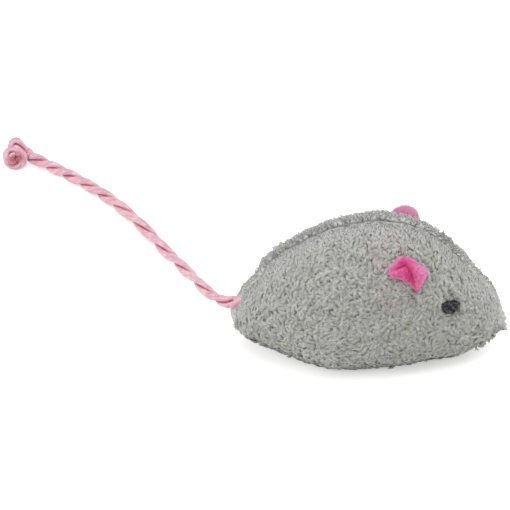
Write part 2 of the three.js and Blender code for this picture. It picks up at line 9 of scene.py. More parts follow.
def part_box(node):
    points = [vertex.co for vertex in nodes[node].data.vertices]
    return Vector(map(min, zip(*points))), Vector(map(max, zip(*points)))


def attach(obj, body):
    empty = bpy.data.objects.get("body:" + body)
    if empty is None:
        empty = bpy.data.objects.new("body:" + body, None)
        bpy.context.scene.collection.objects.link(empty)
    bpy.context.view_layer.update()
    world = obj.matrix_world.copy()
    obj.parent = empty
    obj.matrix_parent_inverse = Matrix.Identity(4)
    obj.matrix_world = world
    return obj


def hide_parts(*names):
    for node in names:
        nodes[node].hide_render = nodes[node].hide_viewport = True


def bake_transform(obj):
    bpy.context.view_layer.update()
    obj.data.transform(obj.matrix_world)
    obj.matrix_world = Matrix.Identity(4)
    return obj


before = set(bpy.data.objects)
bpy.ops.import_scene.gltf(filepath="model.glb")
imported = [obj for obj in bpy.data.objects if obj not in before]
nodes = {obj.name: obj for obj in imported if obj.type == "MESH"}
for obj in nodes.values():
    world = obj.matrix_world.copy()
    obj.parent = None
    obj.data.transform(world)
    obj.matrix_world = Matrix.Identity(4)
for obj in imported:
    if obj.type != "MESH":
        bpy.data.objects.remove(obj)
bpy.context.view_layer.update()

mm = 0.001
sides = {"left": 1, "right": -1}  # +Y is the mouse's left
print("frame loaded:", len(nodes), "nodes")


# Colours and nodes

def linear(hexColour):
    channels = [int(hexColour[i:i + 2], 16) / 255 for i in (1, 3, 5)]
    return (*(c / 12.92 if c <= 0.04045 else ((c + 0.055) / 1.055) ** 2.4 for c in channels), 1)


def setInputs(node, inputs):
    # a socket is linked, or each one of a list; anything else is set as the input's value
    for name, given in inputs.items():
        for value in given if isinstance(given, list) else [given]:
            if isinstance(value, bpy.types.NodeSocket):
                node.id_data.links.new(value, node.inputs[name])
            else:
                node.inputs[name].default_value = value


def addNode(tree, kind, inputs=None, stops=(), **settings):
    # gives back the new node's outputs; stops are a colour ramp's places and colours
    node = tree.nodes.new(kind)
    for name, value in settings.items():
        setattr(node, name, value)
    setInputs(node, inputs or {})
    for _ in stops[2:]:
        node.color_ramp.elements.new(0.5)
    for element, (place, colour) in zip(node.color_ramp.elements if stops else (), stops):
        element.position = place
        element.color = linear(colour)
    return node.outputs


def newMaterial(name):
    material = bpy.data.materials.new(name)
    material.use_nodes = True
    return material, material.node_tree, material.node_tree.nodes["Principled BSDF"]


def grainedMaterial(name, size, dark, light, roughness, depth):
    # a fibrous or crumbled surface: two tones and a slight relief, both of one grain
    material, tree, shader = newMaterial(name)
    place = addNode(tree, "ShaderNodeTexCoord")["Object"]
    grain = addNode(tree, "ShaderNodeTexNoise", {"Vector": place, "Scale": 1 / size, "Detail": 3})["Fac"]
    tones = addNode(tree, "ShaderNodeValToRGB", {"Fac": grain}, [(0.35, dark), (0.65, light)])
    bump = addNode(tree, "ShaderNodeBump", {"Height": grain, "Strength": 0.6, "Distance": depth})
    setInputs(shader, {"Base Color": tones["Color"], "Roughness": roughness, "Normal": bump["Normal"]})
    return material


# Shapes

def unit(vectors):
    return vectors / np.maximum(np.linalg.norm(vectors, axis=-1), 1e-12)[..., None]


def distances(path):
    # how far along the path each of its points lies
    return np.concatenate([[0], np.cumsum(np.linalg.norm(np.diff(path, axis=0), axis=1))])


def pathLength(path):
    return float(distances(path)[-1])


def newObject(name, data):
    made = bpy.data.objects.new(name, data)
    bpy.context.scene.collection.objects.link(made)
    return made


def meshPiece(name, points, faces, material=None, uvs=None, values=None):
    # values holds each point's numbers or vectors for the mesh's named attributes
    mesh = bpy.data.meshes.new(name)
    mesh.from_pydata([tuple(p) for p in points], [], [tuple(f) for f in faces])
    if material:
        mesh.materials.append(material)
    if uvs is not None:
        layer = mesh.uv_layers.new(name="along")
        loopPoints = np.zeros(len(mesh.loops), int)
        mesh.loops.foreach_get("vertex_index", loopPoints)
        layer.data.foreach_set("uv", np.asarray(uvs, float)[loopPoints].ravel())
    for label, numbers in (values or {}).items():
        numbers = np.asarray(numbers, np.float32)
        kind, part = ("FLOAT", "value") if numbers.ndim == 1 else ("FLOAT_VECTOR", "vector")
        mesh.attributes.new(label, kind, "POINT").data.foreach_set(part, numbers.ravel())
    mesh.polygons.foreach_set("use_smooth", [True] * len(mesh.polygons))
    mesh.update()
    return newObject(name, mesh)


def smoothPath(points, step):
    # centripetal Catmull-Rom through the points, with samples about step apart
    p = [2 * np.array(points[0]) - points[1], *map(np.array, points), 2 * np.array(points[-1]) - points[-2]]
    samples = []
    for four in zip(p, p[1:], p[2:], p[3:]):
        t = np.cumsum([0] + [np.linalg.norm(v - u) ** 0.5 for u, v in zip(four, four[1:])])
        for x in np.linspace(t[1], t[2], 24, endpoint=False):
            mixed = four
            for first, gap in ((0, 1), (0, 2), (1, 1)):
                mixed = [
                    ((t[i + gap] - x) * u + (x - t[i]) * v) / (t[i + gap] - t[i])
                    for i, (u, v) in enumerate(zip(mixed, mixed[1:]), first)
                ]
            samples.append(mixed[0])
    samples = np.array([*samples, p[-2]])
    reached = distances(samples)
    at = np.linspace(0, reached[-1], max(2, round(reached[-1] / step)) + 1)
    return np.stack([np.interp(at, reached, samples[:, k]) for k in range(3)], axis=1)


def carriedAxes(path):
    # two directions square to the path at each point, carried along it without twist
    ways = unit(np.gradient(path, axis=0))
    across = np.array((0.0, 0.0, 1.0))
    found = []
    for way in ways:
        across = unit(across - way * (across @ way))
        found.append(across)
    return np.array(found), np.cross(ways, found)


def sweep(path, offsets):
    # a closed tube: offsets holds each ring's points as two lengths along the carried axes
    first, second = carriedAxes(path)
    rings = path[:, None] + offsets[..., :1] * first[:, None] + offsets[..., 1:] * second[:, None]
    count, around = offsets.shape[:2]
    points = [*rings.reshape(-1, 3), path[0], path[-1]]
    sideways = [(j, (j + 1) % around) for j in range(around)]
    last = (count - 1) * around
    faces = [(i + j, i + k, i + around + k, i + around + j) for i in range(0, last, around) for j, k in sideways]
    for j, k in sideways:
        faces += [(k, j, count * around), (last + j, last + k, count * around + 1)]
    along = distances(path) / mm
    uvs = [(a, j / around) for a in along for j in range(around)] + [(0, 0), (along[-1], 0)]
    return points, faces, uvs


def roundTube(path, radii, facets):
    # radii is one number, or one for each point of the path
    turns = 2 * math.pi * np.arange(facets) / facets
    ring = np.stack([np.cos(turns), np.sin(turns)], axis=-1)
    return sweep(path, ring * (np.ones(len(path)) * radii)[:, None, None])


def gridFaces(rows, across):
    starts = [i * across + j for i in range(rows - 1) for j in range(across - 1)]
    return [(k, k + across, k + across + 1, k + 1) for k in starts]


def raisedToFloor(piece):
    lowest = 0.05 * mm
    place = np.zeros(len(piece.data.vertices) * 3, np.float32)
    piece.data.vertices.foreach_get("co", place)
    place[2::3] = np.maximum(place[2::3], lowest)
    piece.data.vertices.foreach_set("co", place)
    piece.data.update()


def sweptPiece(name, parts, material):
    # one mesh of several swept parts
    points, faces, uvs = [], [], []
    for partPoints, partFaces, partUvs in parts:
        faces += [tuple(i + len(points) for i in face) for face in partFaces]
        points += list(partPoints)
        uvs += list(partUvs)
    return meshPiece(name, points, faces, material, uvs)


# Camera: a long lens, looking down on the mouse's right side

view = {
    "lookDown": math.radians(35),
    "roll": math.radians(0.3),
    "distance": 4.0,
    "frameWidth": 139.4 * mm,  # of the picture, at the target
    "target": (-30.9 * mm, 20 * mm, 16.75 * mm),
}


def addCamera():
    data = bpy.data.cameras.new("studioCamera")
    data.sensor_width = 36
    data.lens = data.sensor_width * view["distance"] / view["frameWidth"]
    data.clip_end = 2 * view["distance"]
    camera = newObject("studioCamera", data)
    back = Vector((0, -math.cos(view["lookDown"]), math.sin(view["lookDown"])))
    camera.location = Vector(view["target"]) + back * view["distance"]
    turn = back.to_track_quat("Z", "Y").to_matrix() @ Matrix.Rotation(view["roll"], 3, "Z")
    camera.rotation_euler = turn.to_euler()
    bpy.context.scene.camera = camera


addCamera()

# The picture's own directions, for small soft shapes that are read off it
pictureRight = np.array((1.0, 0.0, 0.0))
pictureUp = np.array((0, math.sin(view["lookDown"]), math.cos(view["lookDown"])))
pictureOut = np.array((0, -math.cos(view["lookDown"]), math.sin(view["lookDown"])))


def fromPicture(centre, right, up, out):
    return np.array(centre) + (right * pictureRight + up * pictureUp + out * pictureOut) * mm


print("camera placed")

# Tail: a loosely laid cord of two flat soft strands

tail = {
    "diameter": 3 * mm,
    "hole": (-38.6 * mm, 0, 15.1 * mm),  # where it leaves the rump seam, and swings about
    "inner": [(-32 * mm, -0.4 * mm, 15.9 * mm), (-35.4 * mm, -0.3 * mm, 15.6 * mm)],
    "orbit": 0.84 * mm,  # of each strand's middle about the cord's
    "strandThickness": 1.66 * mm,
    "strandWidth": 2.2 * mm,
    # where along X the two strands lie side by side, in mm, so the lay is as loose as a hand leaves it
    "sideBySide": [-31.2, -38.2, -44.6, -50.1, -55.4, -61.0, -67.6, -72.0, -76.8, -81.7, -86.4, -91.0],
    "looseness": 0.05 * mm,  # how far the strands part here and there
    "looseLength": 6 * mm,
    "thicker": 0.12,  # how much a strand thickens there, and
    "narrower": 0.10,  # how much it narrows
    "ringStep": 0.35 * mm,
    "roundedRings": 3,  # at a rounded end
    "facets": 22,
    "filaments": 9,  # ridges round a strand
    "filamentDepth": 0.025,
    "filamentTurn": 2.2,  # of the ridges, for each turn of the strands
}

# The route that the cord's own solid follows, in metres
tailRoute = [
    (-0.0424, 0.0032, 0.0149), (-0.0442, 0.0076, 0.0136), (-0.0457, 0.0134, 0.0112),
    (-0.0472, 0.0192, 0.0089), (-0.0489, 0.0254, 0.0066), (-0.0516, 0.0333, 0.0042),
    (-0.0550, 0.0413, 0.0025), (-0.0585, 0.0488, 0.00175), (-0.0618, 0.0548, 0.0016),
    (-0.0651, 0.0601, 0.0016), (-0.0684, 0.0648, 0.0016), (-0.0717, 0.0690, 0.0016),
    (-0.0750, 0.0727, 0.0016), (-0.0783, 0.0760, 0.0016), (-0.0816, 0.0790, 0.0016),
    (-0.0849, 0.0818, 0.0016), (-0.0880, 0.0842, 0.0017), (-0.0907, 0.0858, 0.0022),
    (-0.0932, 0.0867, 0.0028),
]

knot = {
    "centre": (-97.0 * mm, 87.6 * mm, 2.8 * mm),
    # right, up and out in the picture, in mm from the centre: in behind, up and over, round, and out in front
    "route": [
        (2.6, 0.7, -0.9), (1.0, 0.9, -1.2), (-0.5, 1.5, -0.9), (-1.2, 2.5, 0.0), (-0.4, 3.4, 0.8),
        (0.4, 2.8, 1.3), (1.2, 1.4, 1.5), (1.5, -0.4, 1.4), (0.6, -1.9, 1.1), (-1.0, -2.3, 0.9),
        (-2.5, -1.4, 0.8), (-2.5, 0.1, 1.0), (-1.6, 0.8, 1.5), (-0.8, 0.2, 2.0), (-0.5, -0.9, 2.9),
    ],
    "pitch": 12 * mm,
    "squash": 1.16,  # how much wider the strands are pressed in it
    "squashRise": 0.04,  # how much of that each ring adds where the knot begins
    "frayedFibres": 170,
    "frayLength": 1.6 * mm,
    "frayRoot": 0.9 * mm,  # how far behind the tip the fibres start
    "fraySpread": 0.45,  # of the cord's diameter, about the middle
    "fraySplay": 0.7,
    "fibreDiameter": 0.15 * mm,
    "seed": 5,
}


def cordMaterial():
    # rayon cord: fine filaments that run with each strand, a soft satin shine across them, and painted shade, a
    # deeper pink, on each strand's inner side where the strands press together
    material, tree, shader = newMaterial("pinkRayonCord")
    strand = addNode(tree, "ShaderNodeUVMap", uv_map="along")["UV"]
    streak = addNode(tree, "ShaderNodeMapping", {"Vector": strand, "Scale": (0.35, 26, 1)})["Vector"]
    threads = addNode(tree, "ShaderNodeTexNoise", {"Vector": streak, "Scale": 1, "Detail": 3})["Fac"]
    place = addNode(tree, "ShaderNodeTexCoord")["Object"]
    patches = addNode(tree, "ShaderNodeTexNoise", {"Vector": place, "Scale": 1 / (2.5 * mm), "Detail": 2})["Fac"]
    tone = addNode(tree, "ShaderNodeMath", {0: threads, 1: 0.6}, operation="MULTIPLY")[0]
    tone = addNode(tree, "ShaderNodeMath", {0: patches, 1: 0.4, 2: tone}, operation="MULTIPLY_ADD")[0]
    dyes = [(0.32, "#bd8797"), (0.5, "#dbabb8"), (0.68, "#eeced6")]
    dye = addNode(tree, "ShaderNodeValToRGB", {"Fac": tone}, dyes)["Color"]
    # painted shade: darker pink towards each strand's inner side, where the two strands press together
    around = addNode(tree, "ShaderNodeSeparateXYZ", {"Vector": strand})["Y"]
    inner = addNode(tree, "ShaderNodeMath", {0: around, 1: 0.5}, operation="SUBTRACT")[0]
    inner = addNode(tree, "ShaderNodeMath", {0: inner}, operation="ABSOLUTE")[0]
    paintedCreaseShade = addNode(tree, "ShaderNodeValToRGB", {"Fac": inner}, [(0.06, "#eaa0b3"), (0.2, "#ffffff")])["Color"]
    both = {0: 1.0, 6: dye, 7: paintedCreaseShade}
    colour = addNode(tree, "ShaderNodeMix", both, data_type="RGBA", blend_type="MULTIPLY")[2]
    bump = addNode(tree, "ShaderNodeBump", {"Height": threads, "Strength": 0.35, "Distance": 0.08 * mm})["Normal"]
    setInputs(shader, {"Base Color": colour, "Roughness": 0.45, "Sheen Weight": 0.2, "Normal": bump})
    return material


def strandTurns(path):
    # how far the pair of strands has turned at each place: side by side, seen from the camera, where listed
    first, second = carriedAxes(path)
    level = np.unwrap(np.arctan2(-(first @ pictureOut), second @ pictureOut), period=math.pi)
    marks = np.array(tail["sideBySide"][::-1]) * mm
    passed = np.interp(path[:, 0], marks, np.arange(len(marks))[::-1])
    # past the last one, in the knot, the turns go on at an even pitch
    reached = distances(path)
    lastMark = reached[path[:, 0] < marks[0]][0]
    further = passed.max() + (reached - lastMark) / (knot["pitch"] / 2)
    return level - math.pi * np.where(reached > lastMark, further, passed)


def twistedCord(path, turn, seed, rounded, squash):
    # its two strands; rounded says which of the cord's ends are closed by smaller rings
    order = np.arange(len(path))
    length = pathLength(path)
    around = 2 * math.pi * np.arange(tail["facets"]) / tail["facets"]
    grooves = np.cos(tail["filaments"] * around[None] + tail["filamentTurn"] * turn[:, None])
    grooves = 1 + tail["filamentDepth"] * grooves
    far = tail["roundedRings"]
    fromEnd = np.minimum(order if rounded[0] else far, order[::-1] if rounded[1] else far)
    rounding = np.sqrt(np.clip(fromEnd / far, 0.04, 1))[:, None, None]
    strands = []
    for strand in range(2):
        angle = turn + strand * math.pi
        places = np.linspace(0, 1, len(path)) * length / tail["looseLength"]
        wander = np.array([noise.noise(Vector((s, seed, strand * 7))) for s in places])
        orbit = tail["orbit"] + tail["looseness"] * wander
        thick = tail["strandThickness"] / 2 * (1 + tail["thicker"] * wander)
        wide = tail["strandWidth"] / 2 * (1 - tail["narrower"] * wander)
        wide = wide * np.minimum(squash, 1 + knot["squashRise"] * order)
        radial = orbit[:, None] + thick[:, None] * np.cos(around)[None] * grooves
        sideways = wide[:, None] * np.sin(around)[None] * grooves
        cos, sin = np.cos(angle)[:, None], np.sin(angle)[:, None]
        offsets = np.stack([radial * cos - sideways * sin, radial * sin + sideways * cos], axis=-1)
        middle = np.stack([orbit * np.cos(angle), orbit * np.sin(angle)], axis=-1)[:, None]
        strands.append(sweep(path, middle + (offsets - middle) * rounding))
    return strands


def frayedEnd(tip, way):
    # loose fibres that splay from the cord's cut end
    spread = np.random.default_rng(knot["seed"])
    square = unit(np.cross(way, (0, 0, 1)))
    other = np.cross(way, square)
    thinning = np.array((1, 1, 1, 0.9, 0.6))
    fibres = []
    for _ in range(knot["frayedFibres"]):
        turn, out = spread.uniform(0, 2 * math.pi), math.sqrt(spread.uniform(0, 1))
        side = math.cos(turn) * square + math.sin(turn) * other
        root = tip + side * out * tail["diameter"] * knot["fraySpread"] - way * knot["frayRoot"]
        long = knot["frayLength"] * spread.uniform(0.6, 1.3)
        bend = side * long * (knot["fraySplay"] * out)
        path = np.array([root + way * long * t + bend * t * t for t in np.linspace(0, 1, len(thinning))])
        fibres.append(roundTube(path, knot["fibreDiameter"] / 2 * spread.uniform(0.8, 1.6) * thinning, 4))
    return fibres


pinkCord = cordMaterial()


def addTail():
    knotRoute = [fromPicture(knot["centre"], *p) for p in knot["route"]]
    whole = smoothPath([*tail["inner"], tail["hole"], *tailRoute, *knotRoute], tail["ringStep"])
    turn = strandTurns(whole)
    atHole, atKnot = (
        int(np.argmin(np.linalg.norm(whole - np.array(place), axis=1))) for place in (tail["hole"], tailRoute[-1])
    )
    # each one's part of the route, seed, rounded ends and squash
    cords = {
        "tailInnerEnd": (slice(0, atHole + 3), 3, (True, True), 1.0),
        "tailTwoPlyCord": (slice(atHole - 6, atKnot + 1), 3, (True, False), 1.0),  # from a little inside the plush
        "tailEndKnot": (slice(atKnot, len(whole)), 9, (False, True), knot["squash"]),
    }
    made = {
        name: sweptPiece(name, twistedCord(whole[part], turn[part], *shape), pinkCord)
        for name, (part, *shape) in cords.items()
    }
    frayed = grainedMaterial("frayedRayonEnd", 0.3 * mm, "#cb6a7c", "#f8bfc9", 0.6, 0.03 * mm)
    fibres = frayedEnd(whole[-1], unit(whole[-1] - whole[-3]))
    made["tailFrayedEnd"] = sweptPiece("tailFrayedEnd", fibres, frayed)
    for piece in made.values():
        raisedToFloor(piece)
    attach(made["tailFrayedEnd"], "tail")
    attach(made["tailInnerEnd"], "root")
    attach(made["tailEndKnot"], "tail")
    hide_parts("tail_knot")
    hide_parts("tail_base", "tail_cord")
    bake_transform(made["tailTwoPlyCord"])


addTail()

# Body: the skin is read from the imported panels, so it follows them

body = {
    "stations": 180,
    "sideColumns": 76,
    "bellyColumns": 56,
    "backingDepth": 0.85 * mm,  # of the fabric's backing, under the tips of the pile
    "smallestSlit": 0.35 * mm,  # what lies deeper than this beside its surroundings is passed over
    "endInset": {"rump": 1.6 * mm, "nose": 0.8 * mm},  # how much of each end's last point is left off
    "endReach": {"rump": 2.0 * mm, "nose": 0.3 * mm},  # how far the rounded ends go on from there
    # the rounded ends' rings: how far out each is, as a share of the reach, and its size
    "endRings": [(0.3, 0.84), (0.55, 0.63), (0.78, 0.41), (0.94, 0.2)],
    "endSmooth": 2.2 * mm,  # how near the ends the seams' pleats even out
    "ridgeOffset": 1.2 * mm,  # how far the seam along the back lies to the mouse's left
    "ridgeMostTurn": 0.12,  # and at most, in radians about each ring's middle
    "besideSlit": 0.4 * mm,  # from the middle, where the ridge is read past the seam's slit
    # how far above the belly and below the ridge each belly seam is looked for
    "seamSearch": (0.05 * mm, 0.5 * mm),
    "ridgeSeamDepth": 1.3 * mm,  # how far the seam along the back draws the fabric in
    "bellySeamDepth": 0.8 * mm,
    "seamWidth": 0.5 * mm,
    "tipSize": 2 * mm,  # of a ring, up to which no seam shows, and
    "tipRise": 5 * mm,  # over how much more it comes to show whole
    "tipBacking": 0.4,  # the backing's most depth there, as a share of a ring's size
    # along X in mm, how much of the seam along the back shows
    "seamShows": [(-31, 0), (-25, 1), (13, 1), (24, 0.6), (30, 0)],
    # along X in mm, how far in mm the back is drawn in by the turns of the seam's ends
    "backDraw": [
        (-35, 0.2), (-31.7, 1.5), (-28.4, 0.4), (-20, 0), (-12, -0.4), (4, -0.5), (12, -0.1), (17.5, 0.4),
        (24, 0.7), (30, 0.9), (34, 0.6),
    ],
    "backFacing": (0.2, 0.6),  # how far the cloth faces up where that begins and where it is whole
    "farRoll": 1.1 * mm,  # how far the left panel swells beyond the seam along the back
    "farRollPlace": 2.2 * mm,  # from the seam
    "farRollWidth": 1.6 * mm,
    "underDraw": 0.7 * mm,  # how far the cloth is drawn in between the belly and the sides
    "chinDraw": 1.2 * mm,  # how far the chin's whole underside is drawn up
    "chin": (2 * mm, 26 * mm),  # along X, where that begins and where it is whole
    # the angles over which the first of these comes in, and over which both go out again, in degrees: 0 where
    # the cloth faces the floor, 90 where it faces sideways
    "underFacing": (12, 32),
    "sideFacing": (50, 90),
    "bellyTuck": 0.9 * mm,  # how far the belly lies in behind the side panels at their seams
    "tuckReach": 3 * mm,
    "puckerHeight": 0.25 * mm,
    "puckerLength": 4.5 * mm,
    "puckerReach": 4 * mm,
    "puckerAcross": 20 * mm,  # how long each pucker is, away from the seam
    "puckerDepth": 0.5,  # how much the puckers vary the seams' depth
    "lumpHeight": 0.5 * mm,
    "lumpSize": 11 * mm,
    "lowestCloth": 0.6 * mm,
}
panelTrees = {
    name: BVHTree.FromPolygons(
        [v.co for v in nodes[name].data.vertices], [tuple(p.vertices) for p in nodes[name].data.polygons]
    )
    for name in ("left_side_panel", "belly_panel", "right_side_panel")
}
outside = 60 * mm  # from where the panels are looked at


def firstPanel(origin, way):
    # the place and name of the first panel that a straight line meets
    best = (None, None, math.inf)
    for name, tree in panelTrees.items():
        place, _, _, far = tree.ray_cast(Vector(origin), Vector(way))
        if place is not None and far < best[2]:
            best = (np.array(place), name, far)
    return best[:2]


def bellySeamAt(x, low, high):
    # halve the height between the belly and the ridge until the hit goes from one panel to the other
    for _ in range(12):
        middle = (low + high) / 2
        seam, name = firstPanel((x, outside, middle), (0, -1, 0))
        low, high = (middle, high) if name == "belly_panel" else (low, middle)
    return seam[1:]


def smoothStep(low, high, value):
    t = min(1, max(0, (value - low) / (high - low)))
    return t * t * (3 - 2 * t)


def closerAtEnds(start, end, count):
    u = np.arange(count) / count
    return start + (end - start) * (0.45 * u + 0.55 * (1 - np.cos(math.pi * u)) / 2)


def readRings():
    # each station's middle height, with the angles and radii of its places from the ridge round to the ridge
    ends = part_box("belly_panel")
    rumpX, noseX = ends[0].x + body["endInset"]["rump"], ends[1].x - body["endInset"]["nose"]
    middleX, halfLength = (rumpX + noseX) / 2, (noseX - rumpX) / 2
    steps, belly = body["sideColumns"], body["bellyColumns"]
    rings = []
    for i in range(body["stations"] + 1):
        x = middleX - halfLength * math.cos(math.pi * i / body["stations"])
        top = firstPanel((x, body["besideSlit"], outside), (0, 0, -1))[0][2]
        bottom = firstPanel((x, 0, -outside), (0, 0, 1))[0][2]
        centre = (top + bottom) / 2
        seamY, seamZ = bellySeamAt(x, bottom + body["seamSearch"][0], top - body["seamSearch"][1])
        seamAngle = math.atan2(seamZ - centre, seamY)
        ridgeAngle = math.pi / 2 - min(body["ridgeMostTurn"], body["ridgeOffset"] / (top - centre))
        angles = np.concatenate([
            closerAtEnds(ridgeAngle, seamAngle, steps),
            closerAtEnds(seamAngle, -math.pi - seamAngle, belly),
            closerAtEnds(-math.pi - seamAngle, ridgeAngle - 2 * math.pi, steps),
        ])
        radii = []
        for angle in angles:
            way = np.array((0, math.cos(angle), math.sin(angle)))
            origin = np.array((x, 0, centre))
            place = firstPanel(origin + way * outside, -way)[0]
            radii.append(np.nan if place is None else (place - origin) @ way)
        rings.append((x, centre, angles, radii))
    return rings


def moved(grid, along, around):
    rows = np.clip(np.arange(len(grid)) + along, 0, len(grid) - 1)
    return np.roll(grid[rows], around, axis=1)


def evened(radii):
    # slits, stitch holes and pockets are passed over, and the facets smoothed
    usual = np.nanmedian([moved(radii, a, b) for a in range(-3, 4) for b in range(-3, 4)], axis=0)
    kept = np.where(np.abs(radii - usual) < body["smallestSlit"], radii, usual)
    for _ in range(3):
        kept = 0.25 * moved(kept, -1, 0) + 0.5 * kept + 0.25 * moved(kept, 1, 0)
        kept = 0.25 * moved(kept, 0, -2) + 0.5 * kept + 0.25 * moved(kept, 0, 2)
    return kept


def gridNormals(grid):
    around = np.roll(grid, -1, axis=1) - np.roll(grid, 1, axis=1)
    normals = unit(np.cross(around, np.gradient(grid, axis=0)))
    outward = ((grid - grid.mean(axis=1, keepdims=True)) * normals).sum(axis=2).mean()
    return normals * math.copysign(1, outward)


def makeSkin():
    # the pile's outer face, with each place's normal, its distance from the seams and its ring's size
    rings = readRings()
    radii = evened(np.array([ring[3] for ring in rings]))
    outer = np.array([
        [(x, r * math.cos(a), centre + r * math.sin(a)) for a, r in zip(angles, row)]
        for (x, centre, angles, _), row in zip(rings, radii)
    ])
    arcs = np.linalg.norm(np.roll(outer, -1, axis=1) - outer, axis=2)
    reached = np.cumsum(arcs, axis=1) - arcs
    total = arcs.sum(axis=1, keepdims=True)
    seams = (0, body["sideColumns"], body["sideColumns"] + body["bellyColumns"])
    away = [np.abs(reached - reached[:, c:c + 1]) for c in seams]
    away = [np.minimum(a, total - a) for a in away]
    return outer, gridNormals(outer), away[0], np.minimum(away[1], away[2]), seams, total[:, 0] / (2 * math.pi)


outerSkin, skinNormals, ridgeAway, bellySeamAway, seamColumns, ringSize = makeSkin()
fullness = np.clip((ringSize - body["tipSize"]) / body["tipRise"], 0, 1)


def alongBody(what, x):
    return np.interp(x / mm, *zip(*body[what]))


def makeCloth():
    # under the pile: drawn in along the seams, puckered beside them, and a little lumpy from the filling
    cloth = outerSkin.copy()
    for i, j in np.ndindex(cloth.shape[:2]):
        p, normal, ridge, belly = outerSkin[i, j], skinNormals[i, j], ridgeAway[i, j], bellySeamAway[i, j]
        pucker = noise.noise(Vector((p[0] / body["puckerLength"] * 2, p[1] / body["puckerAcross"], 5.1)))
        groove = body["ridgeSeamDepth"] * alongBody("seamShows", p[0]) * math.exp(-(ridge / body["seamWidth"]) ** 2)
        groove += body["bellySeamDepth"] * math.exp(-(belly / body["seamWidth"]) ** 2)
        offset = body["lumpHeight"] * noise.noise(Vector(p / body["lumpSize"]))
        offset += body["puckerHeight"] * pucker * math.exp(-min(ridge, belly) / body["puckerReach"])
        offset -= groove * (1 + body["puckerDepth"] * pucker)
        if j < seamColumns[1]:
            offset += body["farRoll"] * math.exp(-((ridge - body["farRollPlace"]) / body["farRollWidth"]) ** 2)
        fromBelow = math.degrees(math.atan2(abs(normal[1]), -normal[2]))
        drawn = body["underDraw"] * smoothStep(*body["underFacing"], fromBelow)
        drawn += body["chinDraw"] * smoothStep(*body["chin"], p[0])
        offset -= drawn * (1 - smoothStep(*body["sideFacing"], fromBelow))
        if seamColumns[1] < j < seamColumns[2]:
            offset -= body["bellyTuck"] * math.exp(-belly / body["tuckReach"])
        offset -= alongBody("backDraw", p[0]) * mm * smoothStep(*body["backFacing"], normal[2])
        depth = min(body["backingDepth"], body["tipBacking"] * ringSize[i])
        cloth[i, j] = p + normal * (offset * fullness[i] - depth)
    cloth[..., 2] = np.maximum(cloth[..., 2], body["lowestCloth"])
    return cloth


def roundedEnd(ring, outwards, reach):
    # the rings that close the cloth at the nose or the rump, and its last point
    centre = ring.mean(axis=0)
    out = np.array((outwards * reach, 0, 0))
    return [centre + (ring - centre) * size + out * far for far, size in body["endRings"]], centre + out


cloth = makeCloth()
print("cloth read from the panels:", cloth.shape[0] * cloth.shape[1], "places")


def clothMaterial():
    # knitted ground cloth: dull, much as its pile, with painted shade where the seams pull it in
    material, tree, shader = newMaterial("greyKnitBacking")
    place = addNode(tree, "ShaderNodeTexCoord")["Object"]
    loops = addNode(tree, "ShaderNodeTexNoise", {"Vector": place, "Scale": 1 / (0.6 * mm), "Detail": 2})["Fac"]
    ground = addNode(tree, "ShaderNodeValToRGB", {"Fac": loops}, [(0.35, "#b8b9b5"), (0.65, "#c8c9c5")])["Color"]
    # painted shade: darker where the seam along the back draws the cloth into a valley
    seam = addNode(tree, "ShaderNodeAttribute", attribute_name="seam")["Fac"]
    shade = addNode(tree, "ShaderNodeValToRGB", {"Fac": seam}, [(0.3, "#ffffff"), (0.9, "#6a6a68")])["Color"]
    both = {0: 1.0, 6: ground, 7: shade}
    colour = addNode(tree, "ShaderNodeMix", both, data_type="RGBA", blend_type="MULTIPLY")[2]
    setInputs(shader, {"Base Color": colour, "Roughness": 1.0})
    return material


# Plush: short curly locks of acrylic pile, scattered by one Geometry Nodes tree

pile = {
    "density": 9.0e6,  # locks tried per square metre, before those too close are dropped
    "spacing": 0.45 * mm,
    "lockLength": 2.5 * mm,
    "lockHeight": 0.56 * mm,
    "lockWidth": 1.12 * mm,
    # the three kinds of lock: length, height and width as shares of those, and the sideways bow
    "locks": [(1.0, 1.0, 1.0, 0.12), (0.85, 1.1, 1.1, -0.25), (1.15, 0.95, 0.9, 0.32)],
    "smallest": 0.7,
    "largest": 1.2,
    "lean": math.radians(6),
    "seed": 11,
    "straightest": 0.12,  # at the ridge: how far a lock may turn from hanging down, in half turns either way
    "wildest": 0.46,  # the same far from the ridge
    "combing": 45 * mm,  # from the ridge, where the locks hang straighter
    "ridgeHeight": 0.45,  # the pile's share of its whole height at the ridge
    # how far from the ridge each panel's pile would be a whole height taller
    "ridgeRise": {"left_side_panel": 8 * mm, "belly_panel": 3 * mm, "right_side_panel": 15 * mm},
    "seamGap": 0.6 * mm,  # beside the ridge, with few locks
    "bareGap": 0.4,  # the part of it that has none
    "underside": 0.75,  # its height at the belly seams
    "bareEnd": 0.5 * mm,  # how much of each end has no locks
    "thinEnd": 1.2 * mm,  # from there, how far the locks are fewer
    "endLie": 3 * mm,  # how near the ends the locks lie back along the body
    "endRise": 6 * mm,  # how near the ends and the belly seams they are shorter
    "endHeight": 0.25,  # the pile's share of its height at the very ends
    "tipHeight": 0.6,  # its least height before that, where no seam shows
    "endWild": 0.3,  # how much of their turning the locks keep at the ends
    "seamCombing": 0.6,  # how much of it they lose along a belly seam
    "tipWild": 0.2,
    "shadeWidth": 0.65 * mm,  # of the painted shade along the ridge
    "seamLie": 1.5 * mm,  # how near a belly seam the locks lie along it
    "seamLieStart": 3 * mm,  # how far from each end that begins
    "seamLieRise": 5 * mm,
    # the ears shed pink wool on to the plush beside them
    "lintPlaces": [(4.6 * mm, -9 * mm, 37 * mm), (8 * mm, -17.5 * mm, 31 * mm), (7 * mm, 17 * mm, 33 * mm)],
    "lintReach": 8.5 * mm,
    "lint": 0.26,
}


